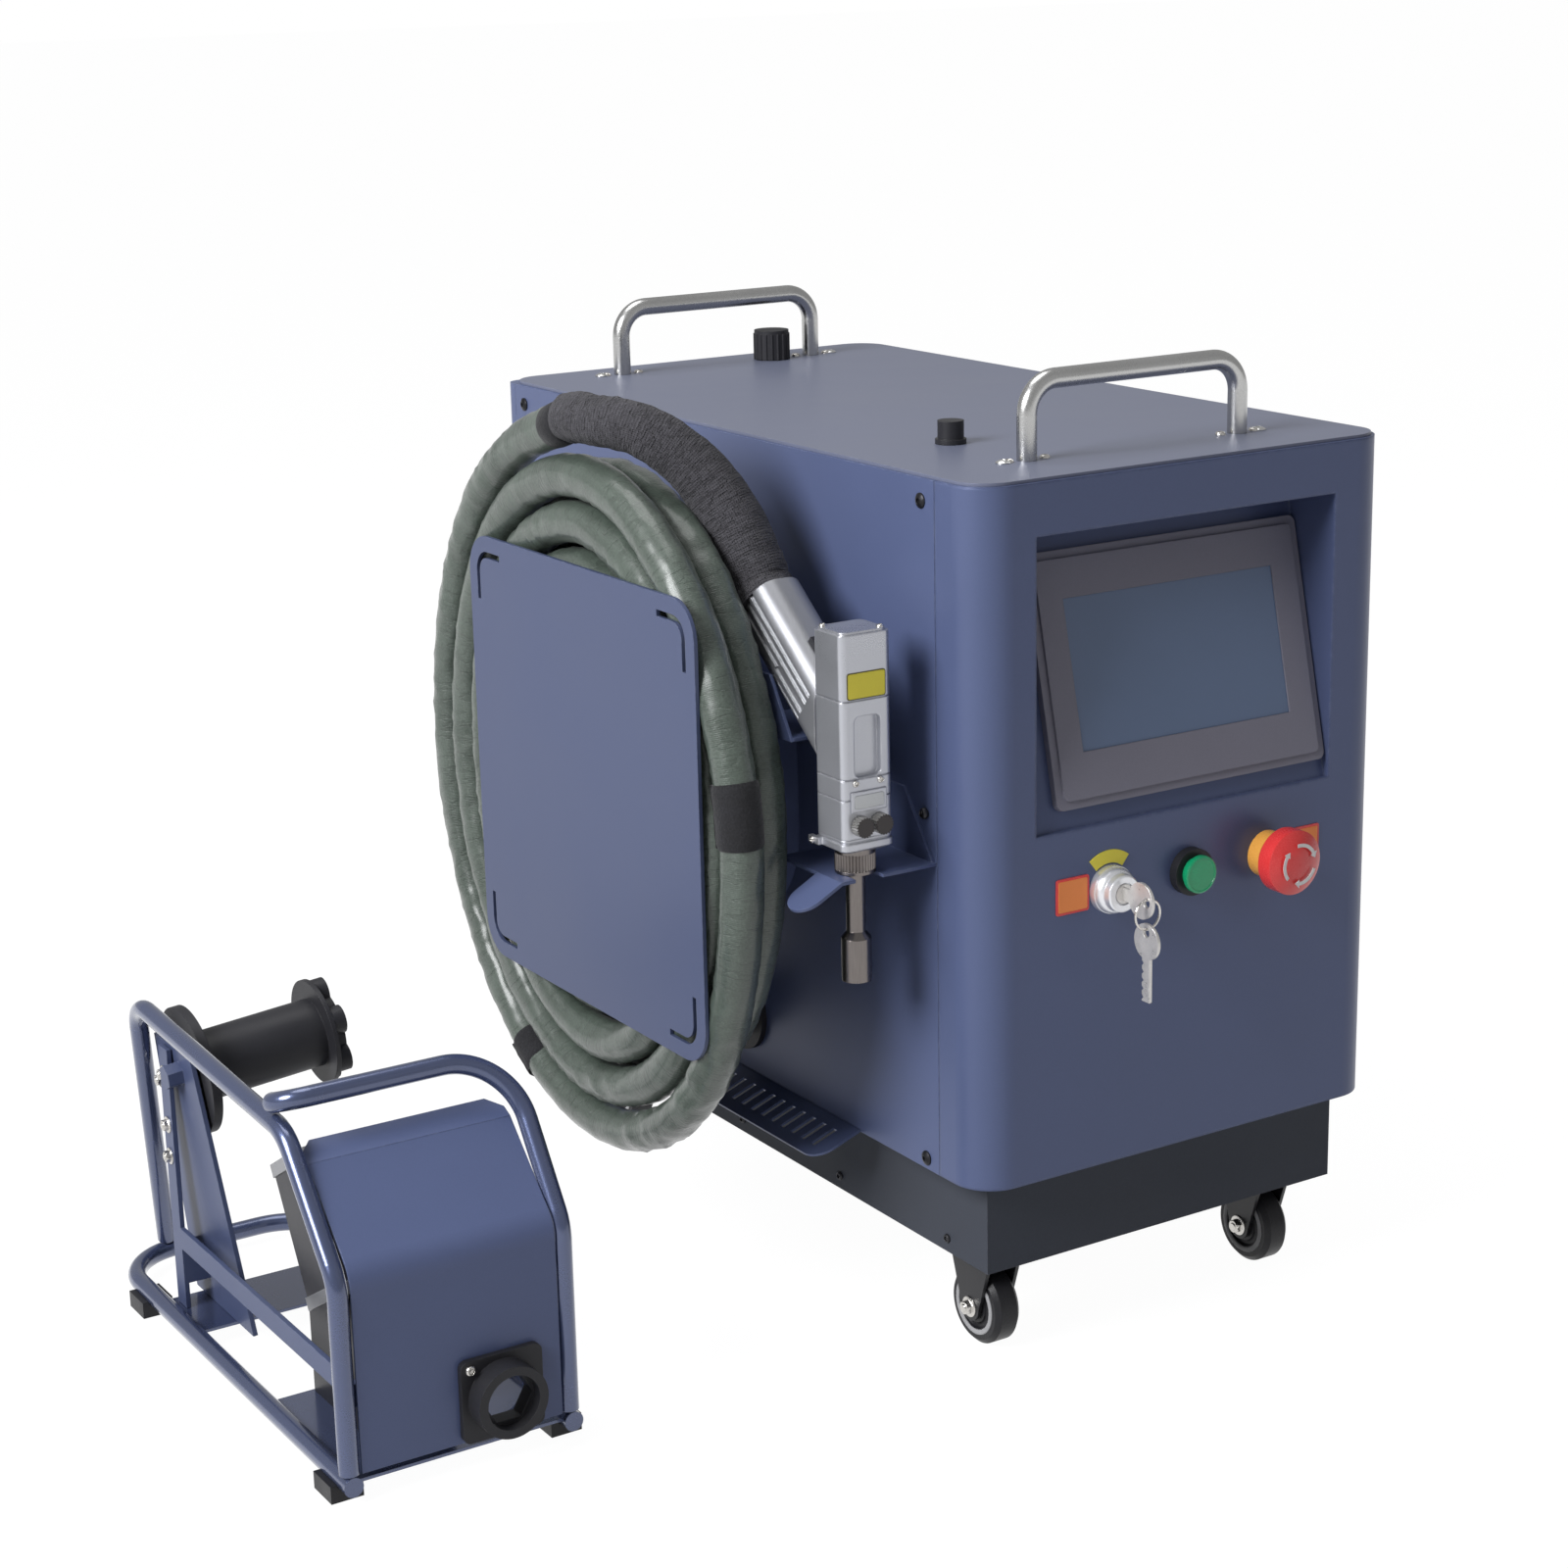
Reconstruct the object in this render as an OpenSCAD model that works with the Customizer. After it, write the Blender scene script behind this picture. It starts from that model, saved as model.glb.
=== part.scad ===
/* [Cabinet] */
// Width of the cabinet over its side panels
body_w = 308; // [300:1:340]
// Depth of the cabinet from front cover to rear cover
body_d = 570; // [560:1:640]
// Height of the lid's top above the floor
body_h = 549; // [545:1:600]
// Height of the covers' lower edge above the floor
cover_z = 126; // [122:1:130]
// Height of the base tray's underside above the floor
tray_z = 65; // [60:1:70]
// Distance from the covers in to the base tray's walls
tray_inset = 18.5; // [16:0.5:20]
// Thickness of the cover sheets
sheet_t = 1.5; // [1:0.1:2]
// Radius of the front cover's upright corners
front_r = 25; // [20:1:28]
// Radius of the rear cover's upright corners
rear_r = 12; // [8:1:14]
// Distance from the front face to the seam with the side panels
front_return = 41.5; // [36:0.5:48]
// Distance from the rear face to the seam with the side panels
rear_return = 16.5; // [15:0.5:20]
// Width of the folded flanges that carry the lid
flange_w = 12; // [10:1:14]
// Thickness of the lid
lid_t = 2; // [1.5:0.5:3]
// Distance from the covers in to the lid's edge
lid_inset = 2.5; // [1.5:0.5:4]

/* [Side vents] */
// Length of each flared vent along the side
vent_len = 343; // [300:1:360]
// Distance from the front face to the vent's front end
vent_y = 127; // [120:1:135]
// Reach of the vent out from the side panel
vent_out = 33; // [28:1:36]
// Drop of the vent below level, in degrees
vent_tilt = 20; // [15:1:24]
// Distance between the vent's slots
slot_pitch = 12; // [10:1:16]
// Width of each slot
slot_w = 4.5; // [3:0.5:6]
// Length of each slot
slot_len = 18; // [14:1:20]

/* [Display] */
// Width of the window in the front cover
window_w = 223; // [216:1:230]
// Height of the window in the front cover
window_h = 176; // [170:1:180]
// Distance from the left side to the window
window_x = 41; // [38:1:44]
// Height of the window's lower edge above the floor
window_z = 340; // [336:1:345]
// Lean of the display back from upright, in degrees
display_tilt = 12.9; // [10:0.1:14]
// Width of the display's bezel
display_w = 204.5; // [200:0.5:208]
// Height of the display's bezel
display_h = 150.5; // [146:0.5:154]
// Thickness of the display's bezel in front of the pocket
bezel_t = 6; // [5:0.5:7]
// Width of the screen's visible area
screen_w = 158; // [150:1:164]
// Height of the screen's visible area
screen_h = 90; // [84:1:96]

/* [Controls] */
// Height of the three controls above the floor
control_z = 300; // [295:1:305]
// Distance from the left side to the key switch
key_x = 94; // [90:1:98]
// Distance between the controls
control_pitch = 60.5; // [58:0.5:64]
// Radius of the holes that the controls fit
control_r = 11; // [10:0.1:12]
// Radius of the emergency stop's head
estop_r = 20; // [18:0.5:21]
// Travel of the emergency stop
estop_travel = 4; // [3:0.5:5]
// Travel of the start button
start_travel = 3; // [2:0.5:3.5]
// Radius of the key ring's centre line
ring_r = 9; // [8:0.5:10]

/* [Handles] */
// Distance between the legs of each lid handle
grip_span = 158; // [150:1:166]
// Height of each lid handle's bar above the lid
grip_h = 46; // [44:1:55]
// Radius of the lid handles' bar
grip_r = 6; // [5:0.5:6.5]
// Distance from the front face to the front handle
front_grip_y = 55; // [52:1:60]
// Distance from the rear face to the rear handle
rear_grip_y = 37; // [34:1:42]

/* [Casters] */
// Radius of the wheels
wheel_r = 25; // [22:0.5:27]
// Width of the wheels
wheel_w = 18; // [16:1:20]
// Distance from the side panel to each wheel's middle
caster_x = 46; // [44:1:54]
// Distance from the front face to the front axles
caster_y = 58.5; // [55:0.5:64]
// Distance from the rear face to the swivel axes
swivel_y = 76; // [72:1:84]
// Distance from a swivel axis back to its axle
caster_trail = 16; // [12:1:18]
// Radius of the axles
axle_r = 4; // [3:0.5:4.5]

/* [Hose hanger] */
// Radius of the hose
hose_r = 13; // [12:0.1:13.2]
// Distance from the side panel to the hanger plate
hanger_out = 123.5; // [122:0.5:130]
// Width of the hanger plate
hanger_w = 282; // [260:1:300]
// Height of the hanger plate
hanger_h = 280; // [260:1:300]
// Distance from the front face to the hanger plate's middle
hanger_y = 240; // [230:1:250]
// Height of the hanger plate's middle above the floor
hanger_z = 343; // [335:1:350]
// Thickness of the hanger plate
hanger_t = 2.5; // [2:0.5:3]
// Radius of the drum that the loops hang on
drum_r = 66; // [55:1:70]

/* [Welding gun] */
// Distance from the side panel to the gun's axis
gun_out = 47; // [46:0.5:49]
// Distance from the front face to the gun's axis
gun_y = 57; // [54:1:60]
// Height of the gun's top above the floor
gun_top = 467; // [460:1:475]
// Width of the gun's head
head_w = 34; // [30:1:36]
// Depth of the gun's head
head_d = 30; // [28:1:32]
// Height of the gun's head
head_h = 121; // [116:1:124]
// Height of the bracket plate that the gun rests on
rest_z = 322; // [318:1:326]
// Lift that frees the gun from its brackets
gun_lift = 90; // [85:1:95]
// Slope of the gun's handle, in degrees
grip_slope = 38.7; // [36:0.1:41]
// Length of the gun's handle from the head's back face
grip_len = 92; // [88:1:96]
// Depth of the gun's handle across its slope
grip_depth = 42; // [38:1:44]
// Radius of the nozzle's bore
nozzle_bore_r = 4; // [3:0.1:5]

/* [Wire feeder] */
// Distance from the cabinet's side to the feeder's left tube
feeder_out = 370; // [366:1:400]
// Distance from the front face to the feeder's front tubes
feeder_y = 92; // [60:1:100]
// Distance between the feeder's left and right tubes
feeder_w = 140; // [136:1:160]
// Length of the feeder's base from front tube to rear tube
feeder_len = 366; // [360:1:400]
// Height of the feeder's side tube at the rear
feeder_h = 215; // [212:1:230]
// Radius of the feeder's tubes
tube_r = 6; // [5:0.5:7]
// Height of the base tubes' middle above the floor
rail_z = 12; // [10:1:14]
// Radius of the spool hub's barrel
hub_r = 22; // [20:0.5:26]
// Length of the spool hub's barrel
hub_len = 80; // [70:1:90]
// Height of the spool hub's axis above the floor
hub_z = 174; // [170:1:180]
// Distance from the front tubes to the spool hub's axis
hub_y = 261; // [256:1:270]
// Radius of the round mouth of the feeder's socket
socket_r = 16.5; // [15:0.5:18]

/* [Hidden] */

// Clearances and the overrun of every cut
over = 1;
seam = 0.3;
fit = 0.05;
touch = 0.3;
round_fn = 48;
$fn = round_fn;

// Colours as the photograph shows them
paint = "#56628C";
lid_paint = "#7B8194";
tray_paint = "#45484F";
steel = "#C9CBCE";
gun_metal = "#B4B7BB";
black = "#1D1E21";
hose_green = "#5F7063";
wrap_black = "#2A2C32";

// Heights and places shared by the cabinet's pieces
cover_top = body_h - lid_t;
floor_t = 2;
floor_top = cover_z + floor_t;
corner_r = 5;
mid_x = body_w / 2;
screw_inset = 13;

// Key switch sizes
key_bezel_r = 14.5;
key_bezel_t = 5;
key_barrel_r = 9;
key_barrel_len = 15;
key_stem_len = 5;
key_bow_r = 11;
key_t = 2;
key_hole_r = 3;
key_hole_edge = 2.5;
ring_wire_r = 0.8;
key_tip = key_barrel_len + key_stem_len + 2 * key_bow_r;
key_hole_y = key_tip - key_hole_edge - key_hole_r;
ring_drop = ring_r - key_hole_r + ring_wire_r + touch;

// Extremes of the whole part without the cord, for its origin at the middle of the floor
rear_out = 26;
estop_out = 31;
axle_nut_out = 10;
foot_w = 20;
all_x0 = -feeder_out - foot_w / 2;
all_x1 = body_w + vent_out + sheet_t * sin(vent_tilt);
all_y0 = -key_hole_y - key_bow_r;
all_y1 = body_d + rear_out;
origin_x = (all_x0 + all_x1) / 2;
origin_y = (all_y0 + all_y1) / 2;

// A rectangle with four round corners, drawn from its lower left corner
module round_rect(w, h, r) {
    translate([r, 0]) square([w - 2 * r, h]);
    translate([0, r]) square([w, h - 2 * r]);
    for (x = [r, w - r], y = [r, h - r]) translate([x, y]) circle(r);
}

// A plate with round corners, centred on its own middle
module centred_plate(w, h, r, t) {
    linear_extrude(t) translate([-w / 2, -h / 2]) round_rect(w, h, r);
}

function unit(v) = v / norm(v);
function across(a) = abs(a[2]) < 0.9 ? unit(cross([0, 0, 1], a)) : unit(cross([1, 0, 0], a));
function frame_at(x, y, z, p) = [
    [x[0], y[0], z[0], p[0]], [x[1], y[1], z[1], p[1]], [x[2], y[2], z[2], p[2]], [0, 0, 0, 1]
];
function bend_at(r, i) = is_list(r) ? r[i] : r;
function bend_cut(p, i, r) =
    i <= 0 || i >= len(p) - 1 ? 0
    : bend_at(r, i) * tan(acos(unit(p[i] - p[i - 1]) * unit(p[i + 1] - p[i])) / 2);

// A straight round bar from one point to another
module bar_between(a, b, r) {
    d = unit(b - a);
    s = across(d);
    multmatrix(frame_at(s, cross(d, s), d, a)) cylinder(r = r, h = norm(b - a));
}

// A round tube bent at every inner point of its path, its straights lapping over its bends
lap = 0.3;
relief = 0.02;
module bent_tube(p, r, bend) {
    for (i = [0:len(p) - 2]) {
        d = unit(p[i + 1] - p[i]);
        a = p[i] + d * bend_cut(p, i, bend);
        b = p[i + 1] - d * bend_cut(p, i + 1, bend);
        bar_between(i == 0 ? a : a - d * lap, i == len(p) - 2 ? b : b + d * lap, r);
    }
    for (i = [1:1:len(p) - 2]) {
        a = unit(p[i] - p[i - 1]);
        b = unit(p[i + 1] - p[i]);
        n = unit(b - a * (a * b));
        c = p[i] - a * bend_cut(p, i, bend) + n * bend_at(bend, i);
        multmatrix(frame_at(-n, a, cross(-n, a), c))
            rotate_extrude(angle = acos(a * b)) translate([bend_at(bend, i), 0]) circle(r - relief);
    }
}

// Everything is drawn from the cabinet's front left corner and moved to the part's origin
module placed() {
    translate([-origin_x, -origin_y, 0]) children();
}

// Turns a shape drawn along Z so that it points out of the front face
module facing_front(x, z, y) {
    translate([x, y, z]) rotate([90, 0, 0]) children();
}

// Base tray: the dark box under the covers that carries the casters
tray_t = 2;
tray_w = body_w - 2 * tray_inset;
tray_d = body_d - 2 * tray_inset;
tray_lip = 14;
module base_tray() {
    color(tray_paint) placed() difference() {
        translate([tray_inset, tray_inset, tray_z]) difference() {
            cube([tray_w, tray_d, cover_z - tray_z]);
            translate([tray_t, tray_t, tray_t])
                cube([tray_w - 2 * tray_t, tray_d - 2 * tray_t, cover_z - tray_z - 2 * tray_t]);
            translate([tray_lip, tray_lip, tray_t])
                cube([tray_w - 2 * tray_lip, tray_d - 2 * tray_lip, cover_z - tray_z]);
        }
        for (x = [caster_x, body_w - caster_x])
            translate([x, body_d - swivel_y, tray_z - over])
                cylinder(r = stem_r + fit, h = tray_t + 2 * over);
    }
}

// Chassis: floor plate, four posts, top rails and the shelf for the electronics
post_w = 20;
post_t = 2;
post_front_y = front_return + seam;
post_rear_y = body_d - rear_return - seam - post_w;
post_top = cover_top - sheet_t;
shelf_z = 262;
shelf_y = 80;
shelf_d = 330;
chassis_in = sheet_t + seam;
chassis_w = body_w - 2 * chassis_in;
module post(x, y, turn_x) {
    translate([x, y, floor_top]) {
        translate([turn_x > 0 ? 0 : -post_t, 0, 0]) cube([post_t, post_w, post_top - floor_top]);
        translate([turn_x > 0 ? 0 : -post_w, 0, 0]) cube([post_w, post_t, post_top - floor_top]);
    }
}
module floor_outline() {
    translate([chassis_in, chassis_in]) round_rect(chassis_w, body_d / 2, front_r - chassis_in);
    translate([chassis_in, body_d / 4])
        round_rect(chassis_w, body_d - body_d / 4 - chassis_in, rear_r - chassis_in);
}
module chassis() {
    color(steel) placed() {
        translate([0, 0, cover_z]) linear_extrude(floor_t) floor_outline();
        for (y = [post_front_y, post_rear_y]) {
            post(chassis_in, y, 1);
            post(body_w - chassis_in, y, -1);
        }
        for (x = [chassis_in, body_w - chassis_in - post_t]) {
            translate([x, post_front_y, post_top - post_w])
                cube([post_t, post_rear_y + post_w - post_front_y, post_w]);
            translate([x, post_front_y, shelf_z - post_w])
                cube([post_t, post_rear_y + post_w - post_front_y, post_w]);
        }
        translate([chassis_in, shelf_y, shelf_z - post_t]) cube([chassis_w, shelf_d, post_t]);
        translate([chassis_in, post_rear_y, shelf_top_rear - post_t]) cube([chassis_w, post_w, post_t]);
        translate([chassis_in, tank_y, shelf_top_rear - post_t])
            cube([chassis_w, post_rear_y + post_w - tank_y, post_t]);
        for (x = [chassis_in, body_w - chassis_in - post_t])
            translate([x, tank_y, shelf_top_rear - post_w])
                cube([post_t, post_rear_y + post_w - tank_y, post_w]);
    }
}

// Outline of the front cover in plan, drawn in by the inset and run out past its open back
module front_plan(inset, run) {
    intersection() {
        translate([inset, inset]) round_rect(body_w - 2 * inset, body_d, front_r - inset);
        square([body_w, front_return + run]);
    }
}

// Outline of the rear cover in plan
module rear_plan(inset, run) {
    intersection() {
        translate([inset, front_return]) round_rect(body_w - 2 * inset, body_d - inset - front_return, rear_r - inset);
        translate([0, body_d - rear_return - run]) square([body_w, rear_return + run]);
    }
}

// Front cover with its window pocket, sloping back plate and three control holes
pocket_foot = 4;
pocket_top = pocket_foot + window_h * tan(display_tilt);
back_in = 6;
pocket_back_w = display_w - 2 * back_in;
pocket_back_h = display_h - 2 * back_in;
display_shift = 8;
display_x = window_x + (window_w - display_w) / 2 + display_shift;
display_rise = 11;
window_r = 7;
module pocket_prism(grow, reach) {
    translate([window_x - grow, 0, window_z]) rotate([90, 0, 90]) linear_extrude(window_w + 2 * grow)
        polygon([
            [reach, -grow], [pocket_foot + grow, -grow],
            [pocket_top + grow, window_h + grow], [reach, window_h + grow]
        ]);
}
module tilted_to_pocket() {
    translate([display_x, pocket_foot, window_z]) rotate([-display_tilt, 0, 0])
        translate([0, 0, display_rise]) children();
}
module front_cover() {
    color(paint) placed() difference() {
        union() {
            translate([0, 0, cover_z]) linear_extrude(cover_top - cover_z) difference() {
                front_plan(0, 0);
                front_plan(sheet_t, over);
            }
            translate([0, 0, cover_top - sheet_t]) linear_extrude(sheet_t) difference() {
                front_plan(0, 0);
                front_plan(flange_w, over);
            }
            pocket_prism(sheet_t, sheet_t / 2);
        }
        pocket_prism(0, -over);
        translate([window_x, sheet_t + over, window_z]) rotate([90, 0, 0])
            linear_extrude(sheet_t + 2 * over) round_rect(window_w, window_h, window_r);
        tilted_to_pocket() translate([(display_w - pocket_back_w) / 2, -over, (display_h - pocket_back_h) / 2])
            cube([pocket_back_w, sheet_t + 3 * over, pocket_back_h]);
        for (i = [0:2])
            facing_front(key_x + i * control_pitch, control_z, sheet_t + over)
                cylinder(r = control_r + fit, h = sheet_t + 2 * over);
    }
}

// Side panel with its folded lid flange and the flared, slotted vent at its foot
panel_y0 = front_return + seam;
panel_d = body_d - front_return - rear_return - 2 * seam;
vent_r = 14;
vent_len_out = vent_out / cos(vent_tilt);
slot_margin = 14;
slot_n = floor((vent_len - 2 * slot_margin) / slot_pitch);
module vent() {
    translate([0, vent_y, cover_z]) rotate([0, -vent_tilt, 0]) translate([-vent_len_out, 0, 0])
        linear_extrude(sheet_t) difference() {
            union() {
                translate([vent_r, 0]) square([vent_len_out - vent_r, vent_len]);
                translate([0, vent_r]) square([vent_len_out, vent_len - 2 * vent_r]);
                for (y = [vent_r, vent_len - vent_r]) translate([vent_r, y]) circle(vent_r);
            }
            for (i = [0:slot_n]) translate([slot_edge, slot_margin + i * slot_pitch])
                square([slot_len, slot_w]);
        }
}
slot_edge = (vent_len_out - slot_len) / 2;
module side_sheet() {
    translate([0, panel_y0, cover_z]) cube([sheet_t, panel_d, cover_top - cover_z]);
    translate([0, panel_y0, cover_top - sheet_t]) cube([flange_w, panel_d, sheet_t]);
    vent();
}
module left_panel() {
    color(paint) placed() difference() {
        side_sheet();
        translate([-over, port_y, port_z]) rotate([0, 90, 0])
            cylinder(r = port_hole_r, h = sheet_t + 2 * over);
    }
}
module right_panel() {
    color(paint) placed() translate([body_w, 0, 0]) mirror([1, 0, 0]) side_sheet();
}

// Rear cover with the fan's slotted grille, an upper louvre row and the inlets' holes
grille_r = 62;
grille_slot = 5;
grille_pitch = 9;
grille_n = floor(grille_r / grille_pitch);
louvre_w = 70;
louvre_h = 4;
louvre_pitch = 10;
louvre_n = 5;
louvre_z = 470;
louvre_x = 48;
module rear_cover() {
    color(paint) placed() difference() {
        union() {
            translate([0, 0, cover_z]) linear_extrude(cover_top - cover_z) difference() {
                rear_plan(0, 0);
                rear_plan(sheet_t, over);
            }
            translate([0, 0, cover_top - sheet_t]) linear_extrude(sheet_t) difference() {
                rear_plan(0, 0);
                rear_plan(flange_w, over);
            }
        }
        for (i = [-grille_n:grille_n]) {
            half = sqrt(grille_r * grille_r - i * i * grille_pitch * grille_pitch);
            translate([mid_x - half, body_d - sheet_t - over, fan_z + i * grille_pitch - grille_slot / 2])
                cube([2 * half, sheet_t + 2 * over, grille_slot]);
        }
        for (i = [0:louvre_n - 1])
            translate([louvre_x, body_d - sheet_t - over, louvre_z + i * louvre_pitch])
                cube([louvre_w, sheet_t + 2 * over, louvre_h]);
        for (f = rear_holes)
            translate([f[0], body_d + over, f[1]]) rotate([90, 0, 0])
                cylinder(r = f[2] + fit, h = sheet_t + 2 * over);
    }
}

// Lid with round corners and holes for the filler neck and the small plug
lid_r = 22;
lid_w = body_w - 2 * lid_inset;
lid_d = body_d - 2 * lid_inset;
module lid() {
    color(lid_paint) placed() difference() {
        translate([lid_inset, lid_inset, cover_top]) linear_extrude(lid_t) round_rect(lid_w, lid_d, lid_r);
        translate([cap_x, cap_y, cover_top - over]) cylinder(r = neck_r + touch, h = lid_t + 2 * over);
        translate([plug_x, plug_y, cover_top - over]) cylinder(r = plug_hole_r + fit, h = lid_t + 2 * over);
    }
}

// Button screws of the side panels and of the lid
screw_r = 4.5;
screw_h = 2.4;
screw_drive_r = 1.7;
screw_drive_depth = 1.4;
lid_screw_out = 17;
module button_screw() {
    difference() {
        rotate_extrude() intersection() {
            translate([0, screw_h - screw_dome_r]) circle(screw_dome_r);
            square([screw_r, screw_h]);
        }
        translate([0, 0, screw_h - screw_drive_depth])
            cylinder(r = screw_drive_r, h = screw_drive_depth + over, $fn = 6);
    }
}
screw_dome_r = 7;
module cabinet_screws() {
    color(black) placed() {
        for (y = [panel_y0 + screw_inset, panel_y0 + panel_d - screw_inset],
             z = [cover_z + screw_low, cover_top - screw_inset]) {
            translate([0, y, z]) rotate([0, -90, 0]) button_screw();
            translate([body_w, y, z]) rotate([0, 90, 0]) button_screw();
        }
        for (x = [mid_x - grip_span / 2 - lid_screw_out, mid_x + grip_span / 2 + lid_screw_out],
             y = [front_grip_y, body_d - rear_grip_y])
            translate([x, y, body_h]) button_screw();
    }
}
screw_low = 7;

// Lid handles bent from round bar
grip_bend = 20;
module grip(y) {
    color(steel) placed()
        bent_tube([
            [mid_x - grip_span / 2, y, body_h], [mid_x - grip_span / 2, y, body_h + grip_h],
            [mid_x + grip_span / 2, y, body_h + grip_h], [mid_x + grip_span / 2, y, body_h]
        ], grip_r, grip_bend);
}
module front_handle() {
    grip(front_grip_y);
}
module rear_handle() {
    grip(body_d - rear_grip_y);
}

// Display unit on the pocket's sloping plate, with its housing behind the plate
housing_depth = 32;
housing_gap = 1;
bezel_r = 5;
bezel_in = 5;
bezel_step = 1.6;
screen_x = 22.5;
screen_z = 32;
screen_t = 2;
screen_deep = 1;
module display_unit() {
    color("#6A6E74") placed() tilted_to_pocket() difference() {
        union() {
            rotate([90, 0, 0]) linear_extrude(bezel_t - bezel_step) round_rect(display_w, display_h, bezel_r);
            translate([bezel_in, 0, bezel_in]) rotate([90, 0, 0]) linear_extrude(bezel_t)
                round_rect(display_w - 2 * bezel_in, display_h - 2 * bezel_in, bezel_r - bezel_step);
            translate([(display_w - pocket_back_w) / 2 + housing_gap, 0,
                (display_h - pocket_back_h) / 2 + housing_gap])
                cube([pocket_back_w - 2 * housing_gap, housing_depth, pocket_back_h - 2 * housing_gap]);
        }
        translate([screen_x, -bezel_t - over, screen_z])
            cube([screen_w, over + screen_deep + screen_t, screen_h]);
    }
}
module display_screen() {
    color("#4E6078") placed() tilted_to_pocket()
        translate([screen_x, -bezel_t + screen_deep, screen_z]) cube([screen_w, screen_t, screen_h]);
}

// Laser source on the chassis floor, with its cooled base plate and fibre outlet
source_w = 204;
source_d = 300;
source_h = 68;
source_y = 90;
source_base_t = 12;
source_lip = 6;
fibre_r = 9;
fibre_len = 30;
module laser_source() {
    color("#2C3E66") placed() translate([mid_x - source_w / 2, source_y, floor_top]) {
        cube([source_w, source_d, source_base_t]);
        translate([source_lip, source_lip, source_base_t])
            cube([source_w - 2 * source_lip, source_d - 2 * source_lip, source_h - source_base_t]);
        translate([source_w / 2, source_lip, source_h / 2]) rotate([90, 0, 0])
            cylinder(r = fibre_r, h = fibre_len);
    }
}

// Power supply on the shelf, with its finned cover
supply_w = 115;
supply_d = 215;
supply_h = 50;
supply_x = 60;
supply_y = 110;
fin_n = 12;
fin_t = 3;
fin_h = 6;
module power_supply() {
    color("#9EA2A6") placed() translate([supply_x, supply_y, shelf_z]) {
        cube([supply_w, supply_d, supply_h]);
        for (i = [0:fin_n - 1])
            translate([i * (supply_w - fin_t) / (fin_n - 1), 0, supply_h]) cube([fin_t, supply_d, fin_h]);
    }
}

// Water tank under the lid, whose neck comes up through the lid to take the cap
cap_x = 199;
cap_y = 532;
cap_r = 12.5;
cap_h = 21;
cap_wall = 2.5;
neck_r = cap_r - cap_wall - fit;
neck_wall = 2;
neck_up = 14;
tank_w = 130;
tank_y = 446;
tank_d = 104;
tank_x = 134;
tank_top = 530;
tank_wall = 3;
shelf_top_rear = 402;
module water_tank() {
    color("#D8DCE0") placed() difference() {
        union() {
            translate([tank_x, tank_y, shelf_top_rear]) cube([tank_w, tank_d, tank_top - shelf_top_rear]);
            translate([cap_x, cap_y, tank_top]) cylinder(r = neck_r, h = body_h + neck_up - tank_top);
        }
        translate([tank_x + tank_wall, tank_y + tank_wall, shelf_top_rear + tank_wall])
            cube([tank_w - 2 * tank_wall, tank_d - 2 * tank_wall, tank_top - shelf_top_rear - 2 * tank_wall]);
        translate([cap_x, cap_y, tank_top - tank_wall - over])
            cylinder(r = neck_r - neck_wall, h = body_h + neck_up - tank_top + tank_wall + 2 * over);
    }
}

// Radiator: two header tanks with fins between them, standing in front of the fan
rad_w = 170;
rad_h = 170;
rad_t = 36;
rad_header = 16;
rad_fin_t = 2;
rad_fin_n = 20;
rad_core_t = 10;
fan_z = 265;
fan_size = 150;
fan_t = 30;
fan_y = body_d - sheet_t - seam - fan_t;
rad_y = fan_y - rad_t - seam;
module radiator() {
    color("#8C9095") placed() translate([mid_x - rad_w / 2, rad_y, fan_z - rad_h / 2]) {
        for (z = [0, rad_h - rad_header]) translate([0, 0, z]) cube([rad_w, rad_t, rad_header]);
        for (i = [0:rad_fin_n - 1])
            translate([i * (rad_w - rad_fin_t) / (rad_fin_n - 1), 0, rad_header])
                cube([rad_fin_t, rad_t, rad_h - 2 * rad_header]);
        translate([0, (rad_t - rad_core_t) / 2, rad_header])
            cube([rad_w, rad_core_t, rad_h - 2 * rad_header]);
        for (x = [0, rad_w - rad_foot]) translate([x, 0, -(fan_z - rad_h / 2 - floor_top)])
            cube([rad_foot, rad_t, fan_z - rad_h / 2 - floor_top]);
    }
}
rad_foot = 14;

// Fan frame with its motor seat on four struts, and the rotor that turns on its pin
fan_bore_r = 68;
fan_hub_r = 22;
fan_pin_r = 4;
strut_w = 6;
strut_t = 5;
rotor_back = 2;
blade_n = 7;
blade_t = 2.5;
blade_tilt = 38;
blade_r = 65;
rotor_len = 20;
module fan_frame() {
    color(black) placed() translate([mid_x, fan_y, fan_z]) rotate([-90, 0, 0]) {
        difference() {
            centred_plate(fan_size, fan_size, corner_r, fan_t);
            translate([0, 0, -over]) cylinder(r = fan_bore_r, h = fan_t + 2 * over);
        }
        for (a = [0:3]) rotate([0, 0, 45 + a * 90])
            translate([0, -strut_w / 2, 0]) cube([fan_bore_r + over, strut_w, strut_t]);
        cylinder(r = fan_hub_r, h = strut_t);
        cylinder(r = fan_pin_r, h = fan_t - rotor_back);
    }
}
module fan_rotor() {
    color(black) placed() translate([mid_x, fan_y, fan_z]) rotate([-90, 0, 0])
        translate([0, 0, strut_t + rotor_back]) difference() {
            union() {
                cylinder(r = fan_hub_r, h = rotor_len);
                for (a = [0:blade_n - 1]) rotate([0, 0, a * 360 / blade_n])
                    translate([0, 0, rotor_len / 2]) rotate([blade_tilt, 0, 0])
                        translate([0, -blade_t / 2, -blade_half]) cube([blade_r, blade_t, 2 * blade_half]);
            }
            translate([0, 0, -over]) cylinder(r = fan_pin_r + fit, h = rotor_len + 2 * over);
        }
}
blade_half = rotor_len / 2;

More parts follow.
